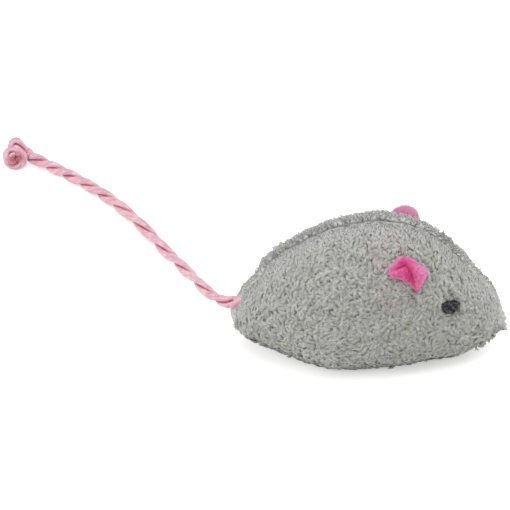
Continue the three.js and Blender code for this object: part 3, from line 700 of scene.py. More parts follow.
def pileMaterial():
    # acrylic plush: matt crimped fibres, pale at the tips with painted shade towards their roots and along the ridge
    # seam where the locks part, paler and greyer where the pile is short as painted light, with a little olive dust
    # of the filling and pink lint near the ears
    material, tree, shader = newMaterial("greyAcrylicPlush")
    place = addNode(tree, "ShaderNodeTexCoord")["Object"]
    tone, along, height, seam = (
        addNode(tree, "ShaderNodeAttribute", attribute_name=name)["Fac"]
        for name in ("tone", "along", "height", "seam")
    )
    patches, fibres, dusty, wispy = (
        addNode(tree, "ShaderNodeTexNoise", {"Vector": place, "Scale": 1 / (size * mm), "Detail": 2})["Fac"]
        for size in (3.5, 0.6, 2.4, 2.2)
    )
    mixed = addNode(tree, "ShaderNodeMath", {0: tone, 1: 0.25}, operation="MULTIPLY")[0]
    mixed = addNode(tree, "ShaderNodeMath", {0: patches, 1: 0.75, 2: mixed}, operation="MULTIPLY_ADD")[0]
    lock, root, paintedSeamShade, strands, dust, wisps = (
        addNode(tree, "ShaderNodeValToRGB", {"Fac": factor}, stops)["Color"] for factor, stops in (
            (mixed, [(0.3, "#a5a6a1"), (0.5, "#b1b2ad"), (0.7, "#bebfb9")]),
            # painted shade: darker towards each lock's root, between the locks
            (along, [(0.0, "#ececec"), (0.4, "#ffffff")]),
            # painted shade along the seam on the back
            (seam, [(0.05, "#ffffff"), (0.95, "#707071")]),
            (fibres, [(0.36, "#e8e8e8"), (0.6, "#ffffff")]),
            (dusty, [(0.58, "#000000"), (0.74, "#a8a8a8")]),
            (wispy, [(0.38, "#000000"), (0.68, "#ffffff")]),
        )
    )
    # painted light: paler and greyer where the pile is short, lifting the ridge and the ends
    paintedLightOnShortPile = addNode(tree, "ShaderNodeMapRange", {0: height, 1: 1.0, 2: 0.45, 3: 0.0, 4: 0.65})[0]
    far = [
        addNode(tree, "ShaderNodeVectorMath", {0: place, 1: spot}, operation="DISTANCE")["Value"]
        for spot in pile["lintPlaces"]
    ]
    while len(far) > 1:
        far = [addNode(tree, "ShaderNodeMath", {0: far[0], 1: far[1]}, operation="MINIMUM")[0], *far[2:]]
    near = addNode(tree, "ShaderNodeMapRange", {0: far[0], 1: pile["lintReach"], 2: 0.0, 3: 0.0, 4: pile["lint"]})[0]
    lint = addNode(tree, "ShaderNodeMath", {0: near, 1: wisps}, operation="MULTIPLY")[0]
    colour = lock
    for way, share, over in (
        ("MULTIPLY", 1.0, root), ("MIX", paintedLightOnShortPile, linear("#d2d2d4")), ("MULTIPLY", 1.0, paintedSeamShade),
        ("MULTIPLY", 1.0, strands), ("MIX", dust, linear("#a6ad7c")), ("MIX", lint, linear("#d98aa8")),
    ):
        both = {0: share, 6: colour, 7: over}
        colour = addNode(tree, "ShaderNodeMix", both, data_type="RGBA", blend_type=way)[2]
    setInputs(shader, {"Base Color": colour, "Roughness": 0.95, "Sheen Weight": 0.25, "Sheen Roughness": 0.6})
    return material


def lockMesh(name, length, height, width, bow, sections=5):
    # one lock: rises from the cloth, arches over towards +Y with a sideways bow, and comes down again
    facets = 3
    spine = np.array([
        (bow * math.sin(math.pi * t), t, height / length * math.sin(math.pi * (0.1 + 0.86 * t)))
        for t in np.linspace(0, 1, sections + 1)
    ]) * length
    ways = unit(np.gradient(spine, axis=0))
    points, along = [], []
    for i, (middle, way) in enumerate(zip(spine, ways)):
        t = i / sections
        across = unit(np.cross(way, (0, 0, 1)))
        rise = np.cross(across, way)
        radius = width / 2 * (0.6 + 0.45 * math.sin(math.pi * t) - 0.2 * t)
        for j in range(facets):
            turn = 2 * math.pi * (j + 0.25) / facets
            points.append(middle + (math.cos(turn) * across + math.sin(turn) * rise) * radius)
            # how far from the root: this sets the painted shade at the locks' roots
            along.append(math.sin(math.pi * min(0.5, 0.05 + t)))
    tip = sections * facets
    sideways = [(j, (j + 1) % facets) for j in range(facets)]
    faces = [(i + j, i + facets + j, i + facets + k, i + k) for i in range(0, tip, facets) for j, k in sideways]
    faces += [(tip + k, tip + j, tip + facets) for j, k in sideways]
    points.append(spine[-1] + ways[-1] * width * 0.2)
    return meshPiece(name, points, faces, values={"along": [*along, 1.0]})


def pileTree():
    # scatters locks over a surface along its grain: sizes and seed are the modifier's own inputs
    tree = bpy.data.node_groups.new("fibrePile", "GeometryNodeTree")
    sockets = {
        "Geometry": "Geometry", "Lock A": "Object", "Lock B": "Object", "Lock C": "Object", "Density": "Float",
        "Spacing": "Float", "Smallest": "Float", "Largest": "Float", "Lean": "Float", "Seed": "Int",
        "Finish": "Material",
    }
    for label, kind in sockets.items():
        tree.interface.new_socket(label, in_out="INPUT", socket_type="NodeSocket" + kind)
    tree.interface.new_socket("Geometry", in_out="OUTPUT", socket_type="NodeSocketGeometry")
    given = addNode(tree, "NodeGroupInput")
    cover, wild, height, grain = (
        addNode(tree, "GeometryNodeInputNamedAttribute", {"Name": label}, data_type=kind)["Attribute"]
        for label, kind in (("cover", "FLOAT"), ("wild", "FLOAT"), ("height", "FLOAT"), ("grain", "FLOAT_VECTOR"))
    )
    turned, tipped, sized, toned = (
        addNode(tree, "FunctionNodeRandomValue", {"Min": low, "Max": high, "Seed": seed}, data_type="FLOAT")[1]
        for seed, (low, high) in enumerate(
            ((-math.pi, math.pi), (-1.0, 1.0), (given["Smallest"], given["Largest"]), (0.0, 1.0)), 1
        )
    )
    scatter = addNode(tree, "GeometryNodeDistributePointsOnFaces", {
        "Mesh": given["Geometry"], "Distance Min": given["Spacing"], "Density Max": given["Density"],
        "Density Factor": cover, "Seed": given["Seed"],
    }, distribute_method="POISSON")
    kinds = [
        addNode(tree, "GeometryNodeObjectInfo", {"Object": given[label], "As Instance": True})["Geometry"]
        for label in ("Lock A", "Lock B", "Lock C")
    ]
    lockSet = addNode(tree, "GeometryNodeJoinGeometry", {"Geometry": kinds})["Geometry"]
    combed = addNode(tree, "FunctionNodeAlignRotationToVector", {
        "Rotation": scatter["Rotation"], "Vector": grain,
    }, axis="Y", pivot_axis="Z")["Rotation"]
    spin = addNode(tree, "ShaderNodeMath", {0: turned, 1: wild}, operation="MULTIPLY")[0]
    lean = addNode(tree, "ShaderNodeMath", {0: tipped, 1: given["Lean"]}, operation="MULTIPLY")[0]
    turns = addNode(tree, "ShaderNodeCombineXYZ", {"X": lean, "Z": spin})["Vector"]
    turns = addNode(tree, "FunctionNodeEulerToRotation", {"Euler": turns})["Rotation"]
    facing = addNode(tree, "FunctionNodeRotateRotation", {
        "Rotation": combed, "Rotate By": turns,
    }, rotation_space="LOCAL")["Rotation"]
    # where the pile is shorter, a lock also lies flatter
    wide = addNode(tree, "ShaderNodeMath", {0: sized, 1: height}, operation="MULTIPLY")[0]
    share = addNode(tree, "ShaderNodeMath", {0: height, 1: 1.5, 2: -0.5}, operation="MULTIPLY_ADD")[0]
    share = addNode(tree, "ShaderNodeMath", {0: share, 1: 0.4}, operation="MAXIMUM")[0]
    high = addNode(tree, "ShaderNodeMath", {0: wide, 1: share}, operation="MULTIPLY")[0]
    placed = addNode(tree, "GeometryNodeInstanceOnPoints", {
        "Points": scatter["Points"], "Instance": lockSet, "Pick Instance": True, "Rotation": facing,
        "Scale": addNode(tree, "ShaderNodeCombineXYZ", {"X": wide, "Y": wide, "Z": high})["Vector"],
    })["Instances"]
    placed = addNode(tree, "GeometryNodeStoreNamedAttribute", {
        "Geometry": placed, "Name": "tone", "Value": toned,
    }, data_type="FLOAT", domain="INSTANCE")["Geometry"]
    real = addNode(tree, "GeometryNodeRealizeInstances", {"Geometry": placed})["Geometry"]
    real = addNode(tree, "GeometryNodeSetMaterial", {"Geometry": real, "Material": given["Finish"]})["Geometry"]
    addNode(tree, "NodeGroupOutput", {"Geometry": real})
    return tree


fibrePile = pileTree()


def growPile(name, ground, locks, settings, finish):
    # a plain mesh of the locks that the tree scatters over ground
    modifier = ground.modifiers.new("pile", "NODES")
    modifier.node_group = fibrePile
    chosen = {
        label: settings[label.lower()] for label in ("Density", "Spacing", "Smallest", "Largest", "Lean", "Seed")
    }
    chosen |= {"Lock A": locks[0], "Lock B": locks[1], "Lock C": locks[2], "Finish": finish}
    for item in fibrePile.interface.items_tree:
        if item.in_out == "INPUT" and item.name in chosen:
            modifier[item.identifier] = chosen[item.name]
    mesh = bpy.data.meshes.new_from_object(ground.evaluated_get(bpy.context.evaluated_depsgraph_get()))
    ground.modifiers.remove(modifier)
    mesh.name = name
    piece = newObject(name, mesh)
    raisedToFloor(piece)
    return piece


def makeCoat():
    # the cloth with its ends closed, and the same rows of what is known about each place
    (rumpRings, rumpTip), (noseRings, noseTip) = (
        roundedEnd(cloth[row], way, body["endReach"][end]) for row, way, end in ((0, -1, "rump"), (-1, 1, "nose"))
    )
    coat = np.array([*rumpRings[::-1], *cloth, *noseRings])
    fromEnd = np.minimum(coat[..., 0] - rumpTip[0], noseTip[0] - coat[..., 0])
    # towards both ends the pleats of the seams even out
    steps = range(-9, 10)
    smooth = sum(np.roll(coat, step, axis=1) for step in steps) / len(steps)
    coat += (smooth - coat) * np.exp(-(fromEnd / body["endSmooth"]) ** 2)[..., None]
    more = (len(rumpRings), len(noseRings))
    ridge, belly = (np.pad(far, (more, (0, 0)), "edge") for far in (ridgeAway, bellySeamAway))
    down = unit(np.roll(coat, -1, axis=1) - np.roll(coat, 1, axis=1))
    full, lengthways = np.pad(fullness, more)[:, None], unit(np.gradient(coat, axis=0))
    return coat, (rumpTip, noseTip), ridge, belly, full, down, lengthways


def addPanels():
    backing, plush = clothMaterial(), pileMaterial()
    usual = np.array([pile["lockLength"], pile["lockHeight"], pile["lockWidth"]])
    locks = [lockMesh("lock" + str(i), *usual * share, bow) for i, (*share, bow) in enumerate(pile["locks"])]
    coat, (rumpTip, noseTip), ridgeFar, bellyFar, full, down, lengthways = makeCoat()
    columns = {
        "left_side_panel": ("leftSidePanel", 0, seamColumns[1]),
        "belly_panel": ("bellyPanel", seamColumns[1], seamColumns[2]),
        "right_side_panel": ("rightSidePanel", seamColumns[2], cloth.shape[1]),
    }
    for node, (name, first, last) in columns.items():
        picked = [c % cloth.shape[1] for c in range(first, last + 1)]
        grid, ridge, belly = coat[:, picked], ridgeFar[:, picked], bellyFar[:, picked]
        rows, across = grid.shape[:2]
        rumpPoint, nosePoint, noseRow = rows * across, rows * across + 1, (rows - 1) * across
        faces = gridFaces(rows, across)
        faces += [(rumpPoint, j, j + 1) for j in range(across - 1)]
        faces += [(nosePoint, noseRow + j + 1, noseRow + j) for j in range(across - 1)]
        fromEnd = np.minimum(grid[..., 0] - rumpTip[0], noseTip[0] - grid[..., 0])
        shows = alongBody("seamShows", grid[..., 0])
        byBelly = np.exp(-(belly / pile["seamLie"]) ** 2)
        byBelly *= np.clip((fromEnd - pile["seamLieStart"]) / pile["seamLieRise"], 0, 1)
        cover = np.maximum(np.clip(ridge / pile["seamGap"] - pile["bareGap"], 0, 1), 1 - full * shows)
        cover *= np.clip((fromEnd - pile["bareEnd"]) / pile["thinEnd"], 0, 1)
        height = np.clip(pile["ridgeHeight"] + ridge / pile["ridgeRise"][node], 0, 1)
        height = np.maximum(height, pile["tipHeight"] * (1 - full))
        fromSeam = 0 if node == "belly_panel" else belly / pile["endRise"]
        height *= np.clip(pile["underside"] + fromSeam, 0, 1)
        height *= np.clip(pile["endHeight"] + fromEnd / pile["endRise"], pile["endHeight"], 1)
        wild = np.clip(pile["straightest"] + ridge / pile["combing"], 0, pile["wildest"])
        wild *= (1 - pile["seamCombing"] * byBelly) * np.clip(fromEnd / pile["endRise"], pile["endWild"], 1)
        # along the belly seams and at both ends the locks lie back towards the middle of the body
        lengthwise = np.maximum(byBelly, np.exp(-(fromEnd / pile["endLie"]) ** 2))[..., None]
        inwards = lengthways[:, picked] * np.where(grid[..., :1] < 0, 1, -1)
        grain = down[:, picked] * (-1 if node == "right_side_panel" else 1) * (1 - lengthwise) + inwards * lengthwise
        # painted shade along the seam on the back, for the cloth and the pile
        seam = np.exp(-(ridge / pile["shadeWidth"]) ** 2) * shows
        # each layer with its value at the two tips
        layers = {
            "cover": (cover, 0), "height": (height, pile["endHeight"]), "wild": (wild, pile["tipWild"]),
            "seam": (seam, 0),
        }
        values = {label: [*layer.ravel(), atTip, atTip] for label, (layer, atTip) in layers.items()}
        values["grain"] = [*grain.reshape(-1, 3), (0, 0, 1), (0, 0, 1)]
        ground = meshPiece(name + "Cloth", [*grid.reshape(-1, 3), rumpTip, noseTip], faces, backing, values=values)
        plushLocks = growPile(name + "Pile", ground, locks, pile, plush)
        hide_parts(node)
        for piece in (ground, plushLocks):
            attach(piece, "root")
        print(ground.name, "has", len(plushLocks.data.polygons) // len(locks[0].data.polygons), "locks")
    for lock in locks:
        bpy.data.objects.remove(lock)


addPanels()

stray = {
    # where a few fibres stand out of the seam along the back, along X in mm, and how many there are
    "tufts": [(18.6, 9), (19.8, 9), (-11.0, 5)],
    "length": 2.0 * mm,
    "diameter": 0.25 * mm,
    "root": 0.6 * mm,  # how deep in the pile they start
    "spread": 0.8,  # along X, in mm either way
    "curve": 0.7,
    "seed": 3,
}


def addStrayFibres():
    spread = np.random.default_rng(stray["seed"])
    thinning = np.array([1, 1, 0.95, 0.85, 0.7, 0.4])
    fibres = []
    for x, count in stray["tufts"]:
        row = int(np.argmin(np.abs(cloth[:, 0, 0] - x * mm)))
        for _ in range(count):
            column = int(spread.integers(1, 6))
            out = skinNormals[row, column]
            root = outerSkin[row, column] - out * stray["root"]
            root = root + np.array((spread.uniform(-stray["spread"], stray["spread"]) * mm, 0, 0))
            lean = spread.uniform(-0.5, 0.5, 3) * stray["curve"]
            long = stray["length"] * spread.uniform(0.6, 1.1)
            path = np.array([root + (out * t + lean * t * t) * long for t in np.linspace(0, 1, len(thinning))])
            fibres.append(roundTube(path, stray["diameter"] / 2 * thinning, 4))
    fibre = grainedMaterial("strayPlushFibre", 0.4 * mm, "#9a9b97", "#b5b6b1", 0.95, 0.02 * mm)
    piece = sweptPiece("strayRidgeFibres", fibres, fibre)
    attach(piece, "root")


addStrayFibres()

# Ears: felt rounds, gathered at the base and folded forwards by hand

ear = {
    "base": (13.1 * mm, -15.3 * mm, 29.5 * mm),  # of the right ear; the left one mirrors it
    "thickness": 0.7 * mm,
    "leftLean": math.radians(22),  # how much further out the left ear leans
    "steps": 5,
    "roundDiameter": {"left": 10 * mm, "right": 11.5 * mm},  # of the felt before it is folded
    # lines from the gathered base to the right ear's rear corner: the rim, the front lobe, its edge, the deep
    # fold, the near flap's crest, its middle and its lower edge. Right, up and out in the picture, in mm
    # from the base
    "rightFold": [
        [(0.0, 0.6, -2.4), (0.35, 1.2, -0.3), (1.6, 2.8, 0.5), (2.4, 4.3, 0.8), (2.75, 5.6, 0.7),
         (0.9, 7.1, 0.2), (-1.6, 8.9, 0.1), (-4.1, 9.5, 0.2), (-6.1, 8.0, 0.5), (-7.6, 6.1, 0.9)],
        [(0.0, 0.6, -2.3), (0.25, 1.2, 0.2), (1.0, 2.7, 1.5), (1.4, 4.1, 1.9), (1.2, 5.4, 2.0),
         (-0.2, 6.8, 1.6), (-2.1, 8.2, 1.0), (-4.1, 8.5, 0.9), (-5.8, 7.3, 1.0), (-7.7, 5.8, 1.1)],
        [(0.0, 0.6, -2.2), (0.05, 1.2, 0.4), (0.25, 2.6, 1.8), (0.05, 4.1, 2.3), (-0.5, 5.4, 2.5),
         (-1.5, 6.9, 2.1), (-2.7, 7.9, 1.0), (-4.1, 7.4, 0.6), (-5.4, 6.5, 0.9), (-7.8, 5.6, 1.2)],
        [(-0.1, 0.6, -2.3), (-0.2, 1.2, 0.1), (-0.8, 2.6, 0.7), (-1.25, 4.0, 0.9), (-1.7, 5.2, 0.9),
         (-2.4, 6.4, 0.7), (-3.2, 6.9, 0.4), (-4.2, 6.4, 0.3), (-5.4, 5.9, 0.6), (-7.8, 5.4, 1.2)],
        [(-0.15, 0.6, -2.2), (-0.45, 1.2, 0.2), (-1.5, 2.6, 0.9), (-2.3, 3.9, 1.3), (-3.0, 4.8, 1.9),
         (-3.6, 5.3, 2.3), (-4.3, 5.5, 2.4), (-4.9, 5.4, 2.3), (-5.9, 5.3, 2.0), (-7.8, 5.2, 1.3)],
        [(-0.2, 0.6, -2.3), (-0.55, 1.2, 0.1), (-1.55, 2.35, 1.0), (-2.5, 3.2, 1.4), (-3.2, 3.8, 1.8),
         (-3.9, 4.2, 2.0), (-4.6, 4.4, 2.0), (-5.5, 4.5, 1.8), (-6.4, 4.6, 1.6), (-7.7, 4.9, 1.2)],
        [(-0.2, 0.6, -2.4), (-0.6, 1.2, -0.2), (-1.5, 2.2, 0.7), (-2.4, 2.8, 0.9), (-3.2, 3.1, 1.0),
         (-4.2, 3.4, 1.1), (-5.2, 3.7, 1.1), (-6.2, 3.9, 1.1), (-6.9, 4.1, 1.1), (-7.5, 4.7, 1.2)],
    ],
    # how deep in the fold each of those places lies, from 0 at an open edge to 1; it gives the felt painted shade, a
    # deeper pink
    "rightDepth": [
        [0.2, 0.1, 0, 0, 0, 0, 0, 0, 0, 0], [0.3, 0.2, 0.1, 0.1, 0.1, 0.3, 0.8, 0.9, 0.6, 0.1],
        [0.4, 0.4, 0.6, 0.7, 0.7, 0.8, 1, 1, 0.9, 0.2], [0.6, 0.9, 1, 1, 1, 1, 1, 1, 0.9, 0.4],
        [0.5, 0.8, 1, 1, 1, 0.9, 0.8, 0.7, 0.6, 0.3], [0.4, 0.7, 1, 1, 0.9, 0.7, 0.7, 0.7, 0.5, 0.2],
        [0.3, 0.4, 0.6, 0.5, 0.3, 0.2, 0.1, 0, 0, 0],
    ],
    # the left ear's rim, from its rear foot over the top to its front foot; its cup opens away from the body
    "leftRim": [
        (-1.3, 0.2, 0.2), (-4.8, 1.2, 0.9), (-6.9, 3.2, 1.6), (-6.2, 5.3, 1.9), (-4.6, 6.6, 1.9),
        (-3.2, 7.1, 1.8), (-1.7, 6.7, 1.7), (-0.5, 5.6, 1.6), (0.2, 3.9, 1.3), (0.4, 2.1, 0.9), (0.3, 0.4, 0.2),
    ],
    "leftRows": (0.06, 0.25, 0.45, 0.65, 0.85, 1.0),  # how far from its foot to its rim each row lies
    "leftBulge": 0.5,  # how far the cup's back stands towards the body, in mm
    "leftDustAndLight": 0.45,  # dust and painted light on its rim
    "tackDiameter": 0.5 * mm,
    # each turn of its thread: up and out from the base to its middle, in mm, and its half sizes right, up and out
    "tackTurns": [(0.7, -2.1), (1.1, -2.1)],
    "tackSize": (0.5, 0.2, 0.4),
    "fuzz": {  # short wool fibres on the felt
        "density": 2.0e7, "spacing": 0.2 * mm, "smallest": 0.6, "largest": 1.3, "lean": math.radians(35), "seed": 7,
    },
    "fuzzLength": 0.55 * mm,
    "fuzzHeight": 0.55 * mm * 0.7,
    "fuzzWidth": 0.07 * mm,
    "fuzzBows": (0.1, -0.3, 0.4),
    "bareFold": 0.6,  # how much of the fuzz the deepest fold lacks
}


def feltMaterial():
    # wool felt: matted fibres in paler and darker tufts, paler at the edges as dust and painted light, and painted
    # shade, a deeper pink, in the folds
    material, tree, shader = newMaterial("pinkWoolFelt")
    place = addNode(tree, "ShaderNodeTexCoord")["Object"]
    tufts = addNode(tree, "ShaderNodeTexNoise", {"Vector": place, "Scale": 1 / (0.7 * mm), "Detail": 4})["Fac"]
    depth, dust = (addNode(tree, "ShaderNodeAttribute", attribute_name=name)["Fac"] for name in ("depth", "dust"))
    worn, deep = (
        addNode(tree, "ShaderNodeValToRGB", {"Fac": tufts}, stops)["Color"] for stops in (
            [(0.3, "#d978a9"), (0.5, "#e28bb6"), (0.7, "#eba4c5")], [(0.3, "#bf2470"), (0.7, "#e35297")],
        )
    )
    # dust and painted light: paler pink towards the left ear's rim
    worn = addNode(tree, "ShaderNodeMix", {0: dust, 6: worn, 7: linear("#f7b4d3")}, data_type="RGBA")[2]
    # painted shade: a deeper pink in the folds
    colour = addNode(tree, "ShaderNodeMix", {0: depth, 6: worn, 7: deep}, data_type="RGBA")[2]
    bump = addNode(tree, "ShaderNodeBump", {"Height": tufts, "Strength": 0.5, "Distance": 0.12 * mm})["Normal"]
    setInputs(shader, {"Base Color": colour, "Roughness": 0.95, "Sheen Weight": 0.25, "Normal": bump})
    return material


def denser(grid, steps):
    # Catmull-Rom through the rows of a grid of points
    rows = np.concatenate([[2 * grid[0] - grid[1]], grid, [2 * grid[-1] - grid[-2]]])
    found = []
    for a, b, c, d in zip(rows, rows[1:], rows[2:], rows[3:]):
        square, cube = 2 * a - 5 * b + 4 * c - d, 3 * b - a - 3 * c + d
        for t in np.arange(steps) / steps:
            found.append(0.5 * (2 * b + (c - a) * t + square * t * t + cube * t ** 3))
    return np.array([*found, grid[-1]])


def earPlace(side, right, up, out):
    # in mm from the ear's base; the left ear mirrors the right one's directions and leans further out
    if side == "left":
        cos, sin = math.cos(ear["leftLean"]), math.sin(ear["leftLean"])
        up, out = up * cos - out * sin, up * sin + out * cos
    return fromPicture(ear["base"], right, up, out) * (1, -sides[side], 1)


def earGrid(side):
    # places, and how deep in the fold each lies for the painted fold shade, or below 0 how much dust and painted
    # light it gets
    control, depth = ear["rightFold"], ear["rightDepth"]
    if side == "left":
        control = [
            [(x * t, y * t, z * t ** 3 - ear["leftBulge"] * math.sin(math.pi * t)) for x, y, z in ear["leftRim"]]
            for t in ear["leftRows"]
        ]
        depth = [[-ear["leftDustAndLight"] * t] * len(ear["leftRim"]) for t in ear["leftRows"]]
    grid = np.array([[[*earPlace(side, *p), d] for p, d in zip(*pair)] for pair in zip(control, depth)])
    grid = denser(denser(grid, ear["steps"]).swapaxes(0, 1), ear["steps"])
    return grid[..., :3], np.clip(grid[..., 3], 0, 1).ravel(), np.clip(-grid[..., 3], 0, 1).ravel()


def addTacks():
    # two turns of thread about each gathered base, seen only between the locks
    thread = grainedMaterial("pinkSewingThread", 0.2 * mm, "#b5588c", "#d07fa9", 0.8, 0.05 * mm)
    right, high, deep = ear["tackSize"]
    for side in sides:
        turns = []
        for up, out in ear["tackTurns"]:
            path = np.array([
                earPlace(side, right * math.cos(a), up + high * math.sin(a), deep * math.sin(a) + out)
                for a in np.linspace(0, 2 * math.pi, 28)
            ])
            turns.append(roundTube(path, ear["tackDiameter"] / 2, 8))
        piece = sweptPiece(side + "EarTack", turns, thread)
        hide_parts(side + "_ear_tack_thread")
        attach(piece, "root")


def addEars():
    felt = feltMaterial()
    fibre = [
        lockMesh("wool" + str(i), ear["fuzzLength"], ear["fuzzHeight"], ear["fuzzWidth"], bow, sections=2)
        for i, bow in enumerate(ear["fuzzBows"])
    ]
    for side in sides:
        grid, depth, dust = earGrid(side)
        faces = [(a, d, c, b) for a, b, c, d in gridFaces(*grid.shape[:2])]
        full = [1] * depth.size
        values = {
            "depth": depth, "dust": dust, "cover": 1 - ear["bareFold"] * depth, "height": full, "wild": full,
            "grain": [(0, 0, 1)] * depth.size,
        }
        piece = meshPiece(side + "FeltEar", grid.reshape(-1, 3), faces, felt, values=values)
        solid = piece.modifiers.new("feltThickness", "SOLIDIFY")
        solid.thickness = ear["thickness"]
        solid.offset = 0
        rounded = piece.modifiers.new("softEdges", "SUBSURF")
        rounded.levels = rounded.render_levels = 1
        fuzz = growPile(side + "FeltFuzz", piece, fibre, ear["fuzz"], felt)
        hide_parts(side + "_ear")
        for made in (piece, fuzz):
            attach(made, side + "_ear")
        print(fuzz.name, "has", len(fuzz.data.polygons) // len(fibre[0].data.polygons), "fibres")
        print(side, "ear's felt:", round(sum(p.area for p in piece.data.polygons) / mm ** 2), "mm2")
    for one in fibre:
        bpy.data.objects.remove(one)


addEars()
addTacks()

# Eyes: rounded triangles of black thread, sewn as satin stitches over one another

eye = {
    # the sewn patch's outline, right and up from its middle, in mm
    "outline": [
        (-3.2, 1.0), (-2.7, 1.4), (-1.4, 1.5), (0.4, 1.35), (2.1, 1.2), (2.95, 0.65), (2.5, -0.1),
        (2.0, -0.8), (1.1, -1.55), (0.2, -2.0), (-0.8, -1.95), (-1.8, -1.6), (-2.7, -0.6), (-3.2, 0.2),
    ],
    "dome": 0.9 * mm,
    "domeHalf": (3.2 * mm, 2.5 * mm),  # its half width and half height
    "sunk": 0.35 * mm,
    "endDip": 0.7 * mm,  # how far a stitch goes down into the plush at its ends
    "threadDiameter": 0.5 * mm,
    "step": 0.25 * mm,
    "unevenness": 0.08,  # of the stitches' places, in mm either way
    "shortest": 0.5 * mm,
    # each layer's slant, how high it lies, how far apart its stitches are and how much of the patch it covers
    "layers": [
        (math.radians(82), 0.0, 0.42 * mm, 1.0), (math.radians(24), 0.35 * mm, 0.75 * mm, 0.85),
        (math.radians(-40), 0.55 * mm, 1.3 * mm, 0.7),
    ],
    "facets": 8,
    "seed": 4,
}


def waxedThreadMaterial():
    # waxed black thread: a slight shine, and painted glints as grey slanting streaks round it
    material, tree, shader = newMaterial("blackWaxedThread")
    strand = addNode(tree, "ShaderNodeUVMap", uv_map="along")["UV"]
    slanted = {"Vector": strand, "Rotation": (0, 0, 0.5), "Scale": (0.9, 3, 1)}
    slanted = addNode(tree, "ShaderNodeMapping", slanted)["Vector"]
    paintedGlints = addNode(tree, "ShaderNodeTexNoise", {"Vector": slanted, "Scale": 1, "Detail": 1})["Fac"]
    # painted highlights: the lighter grey streaks stand in for glints on the thread
    tones = addNode(tree, "ShaderNodeValToRGB", {"Fac": paintedGlints}, [(0.5, "#020203"), (0.72, "#68686c")])["Color"]
    setInputs(shader, {"Base Color": tones, "Roughness": 0.3})
    return material


def chord(outline, middle, way):
    # where a line through middle crosses the outline, as distances along way
    square = np.array((-way[1], way[0]))
    found = []
    for a, b in zip(outline, np.roll(outline, -1, axis=0)):
        u, v = (a - middle) @ square, (b - middle) @ square
        if u * v < 0:
            found.append((a + (b - a) * u / (u - v) - middle) @ way)
    return (min(found), max(found)) if len(found) > 1 else None


def addEyes():
    black = waxedThreadMaterial()
    spread = np.random.default_rng(eye["seed"])
    outline = np.array(eye["outline"]) * mm
    for side in sides:
        corners = np.array([v.co for v in nodes[side + "_eye"].data.vertices])
        centre = (corners.min(axis=0) + corners.max(axis=0)) / 2
        nearest = np.argmin(np.linalg.norm((outerSkin - centre).reshape(-1, 3), axis=1))
        out = skinNormals.reshape(-1, 3)[nearest]
        right = unit(np.array((1.0, 0, 0)) - out * out[0])
        up = np.cross(out, right)
        up = up * (1 if up[2] > 0 else -1)
        stitches = []
        for slant, lift, apart, share in eye["layers"]:
            way = np.array((math.cos(slant), math.sin(slant)))
            square = np.array((-way[1], way[0]))
            reach = np.abs(outline @ square).max() * share
            for d in np.arange(-reach, reach, apart):
                middle = square * (d + spread.uniform(-eye["unevenness"], eye["unevenness"]) * mm)
                ends = chord(outline * (0.6 + 0.4 * share), middle, way)
                if ends is None or ends[1] - ends[0] < eye["shortest"]:
                    continue
                path = []
                for t in np.linspace(0, 1, 11):
                    x, y = middle + way * (ends[0] + (ends[1] - ends[0]) * t)
                    swell = 1 - (x / eye["domeHalf"][0]) ** 2 - (y / eye["domeHalf"][1]) ** 2
                    dip = (2 * abs(t - 0.5)) ** 5 * (eye["endDip"] + lift)
                    rise = eye["dome"] * math.sqrt(max(0, swell)) + lift - dip - eye["sunk"]
                    path.append(centre + right * x + up * y + out * rise)
                stitches.append(roundTube(smoothPath(path, eye["step"]), eye["threadDiameter"] / 2, eye["facets"]))
        piece = sweptPiece(side + "StitchedEye", stitches, black)
        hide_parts(side + "_eye")
        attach(piece, "root")
    print("eyes sewn")


addEyes()

# What is inside: the frame's own solids keep their shapes and get their finishes.
# Each finish's nodes, grain, dark and light tone, roughness and relief
seams = ("ridge_seam_thread", "left_belly_seam_thread", "right_belly_seam_thread", "closing_seam_thread")
sachet = ("sachet_front_sheet", "sachet_rear_sheet")
inside = {
    "whiteStuffingFibre": (("front_stuffing", "rear_stuffing"), 1.2 * mm, "#dfdfdc", "#f5f5f2", 0.95, 0.5 * mm),
    "sachetCloth": (sachet, 0.35 * mm, "#dcdbd2", "#eeede6", 0.9, 0.1 * mm),
    "driedCatnipLeaf": (("catnip_leaf",), 0.9 * mm, "#5d6338", "#9aa06a", 0.95, 0.4 * mm),
    "greySewingThread": (seams, 0.2 * mm, "#858583", "#a4a4a1", 0.8, 0.05 * mm),
    "blackSewingThread": (("eye_thread",), 0.2 * mm, "#0f0f10", "#2a2a2c", 0.45, 0.05 * mm),
}


def finishInside():
    finishes = [(names, grainedMaterial(name, *look)) for name, (names, *look) in inside.items()]
    for names, material in [*finishes, (("tail_root",), pinkCord)]:
        for name in names:
            nodes[name].data.materials.clear()
            nodes[name].data.materials.append(material)


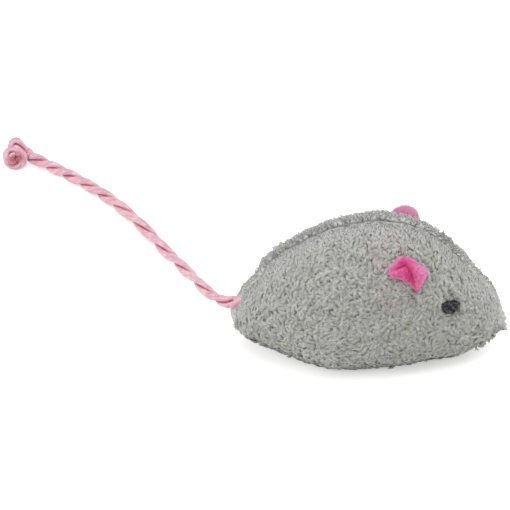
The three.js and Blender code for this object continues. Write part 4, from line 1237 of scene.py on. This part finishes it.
finishInside()
print("inside pieces finished")

# Studio: pale floor, white surround, soft light from above and in front

studio = {
    "floorSize": 8.0,
    "floorColour": "#f4f4f2",
    "floorGlow": 0.45,  # lifts the floor to white for the camera alone; the shadow still shows
    "surround": 0.41,  # brightness of the white surround on the object
    # softboxes: power in W, size in m and place
    "softboxes": {
        "overhead": (24.0, (3.4, 1.4), (0.2, -0.22, 1.3)),
        "besideTail": (6.0, (0.9, 0.9), (-1.3, -0.15, 0.45)),
        "behindNose": (3.5, (0.9, 0.9), (1.2, 0.6, 0.6)),
    },
    "aim": Vector((0, 0, 0.02)),
}


def addStudio():
    material, tree, shader = newMaterial("paleFloor")
    rays = addNode(tree, "ShaderNodeLightPath")
    seen = rays["Is Camera Ray"]
    for other in ("Is Glossy Ray", "Is Transmission Ray"):
        seen = addNode(tree, "ShaderNodeMath", {0: seen, 1: rays[other]}, operation="MAXIMUM")[0]
    glow = addNode(tree, "ShaderNodeMath", {0: seen, 1: studio["floorGlow"]}, operation="MULTIPLY")[0]
    setInputs(shader, {
        "Base Color": linear(studio["floorColour"]), "Roughness": 1.0, "Emission Color": linear("#ffffff"),
        "Emission Strength": glow,
    })
    half = studio["floorSize"] / 2
    corners = [(-half, -half, 0), (half, -half, 0), (half, half, 0), (-half, half, 0)]
    floor = meshPiece("floor", corners, [(0, 1, 2, 3)], material)
    world = bpy.data.worlds.new("whiteSurround")
    bpy.context.scene.world = world
    world.use_nodes = True
    setInputs(world.node_tree.nodes["Background"], {"Color": linear("#ffffff"), "Strength": studio["surround"]})
    for name, (power, size, place) in studio["softboxes"].items():
        lampData = bpy.data.lights.new(name + "Softbox", "AREA")
        lampData.shape = "RECTANGLE"
        lampData.size, lampData.size_y = size
        lampData.energy = power
        lamp = newObject(name + "Softbox", lampData)
        lamp.location = place
        lamp.rotation_euler = (studio["aim"] - lamp.location).to_track_quat("-Z", "Y").to_euler()


addStudio()
bpy.context.scene.view_settings.view_transform = "Standard"
print("studio ready")
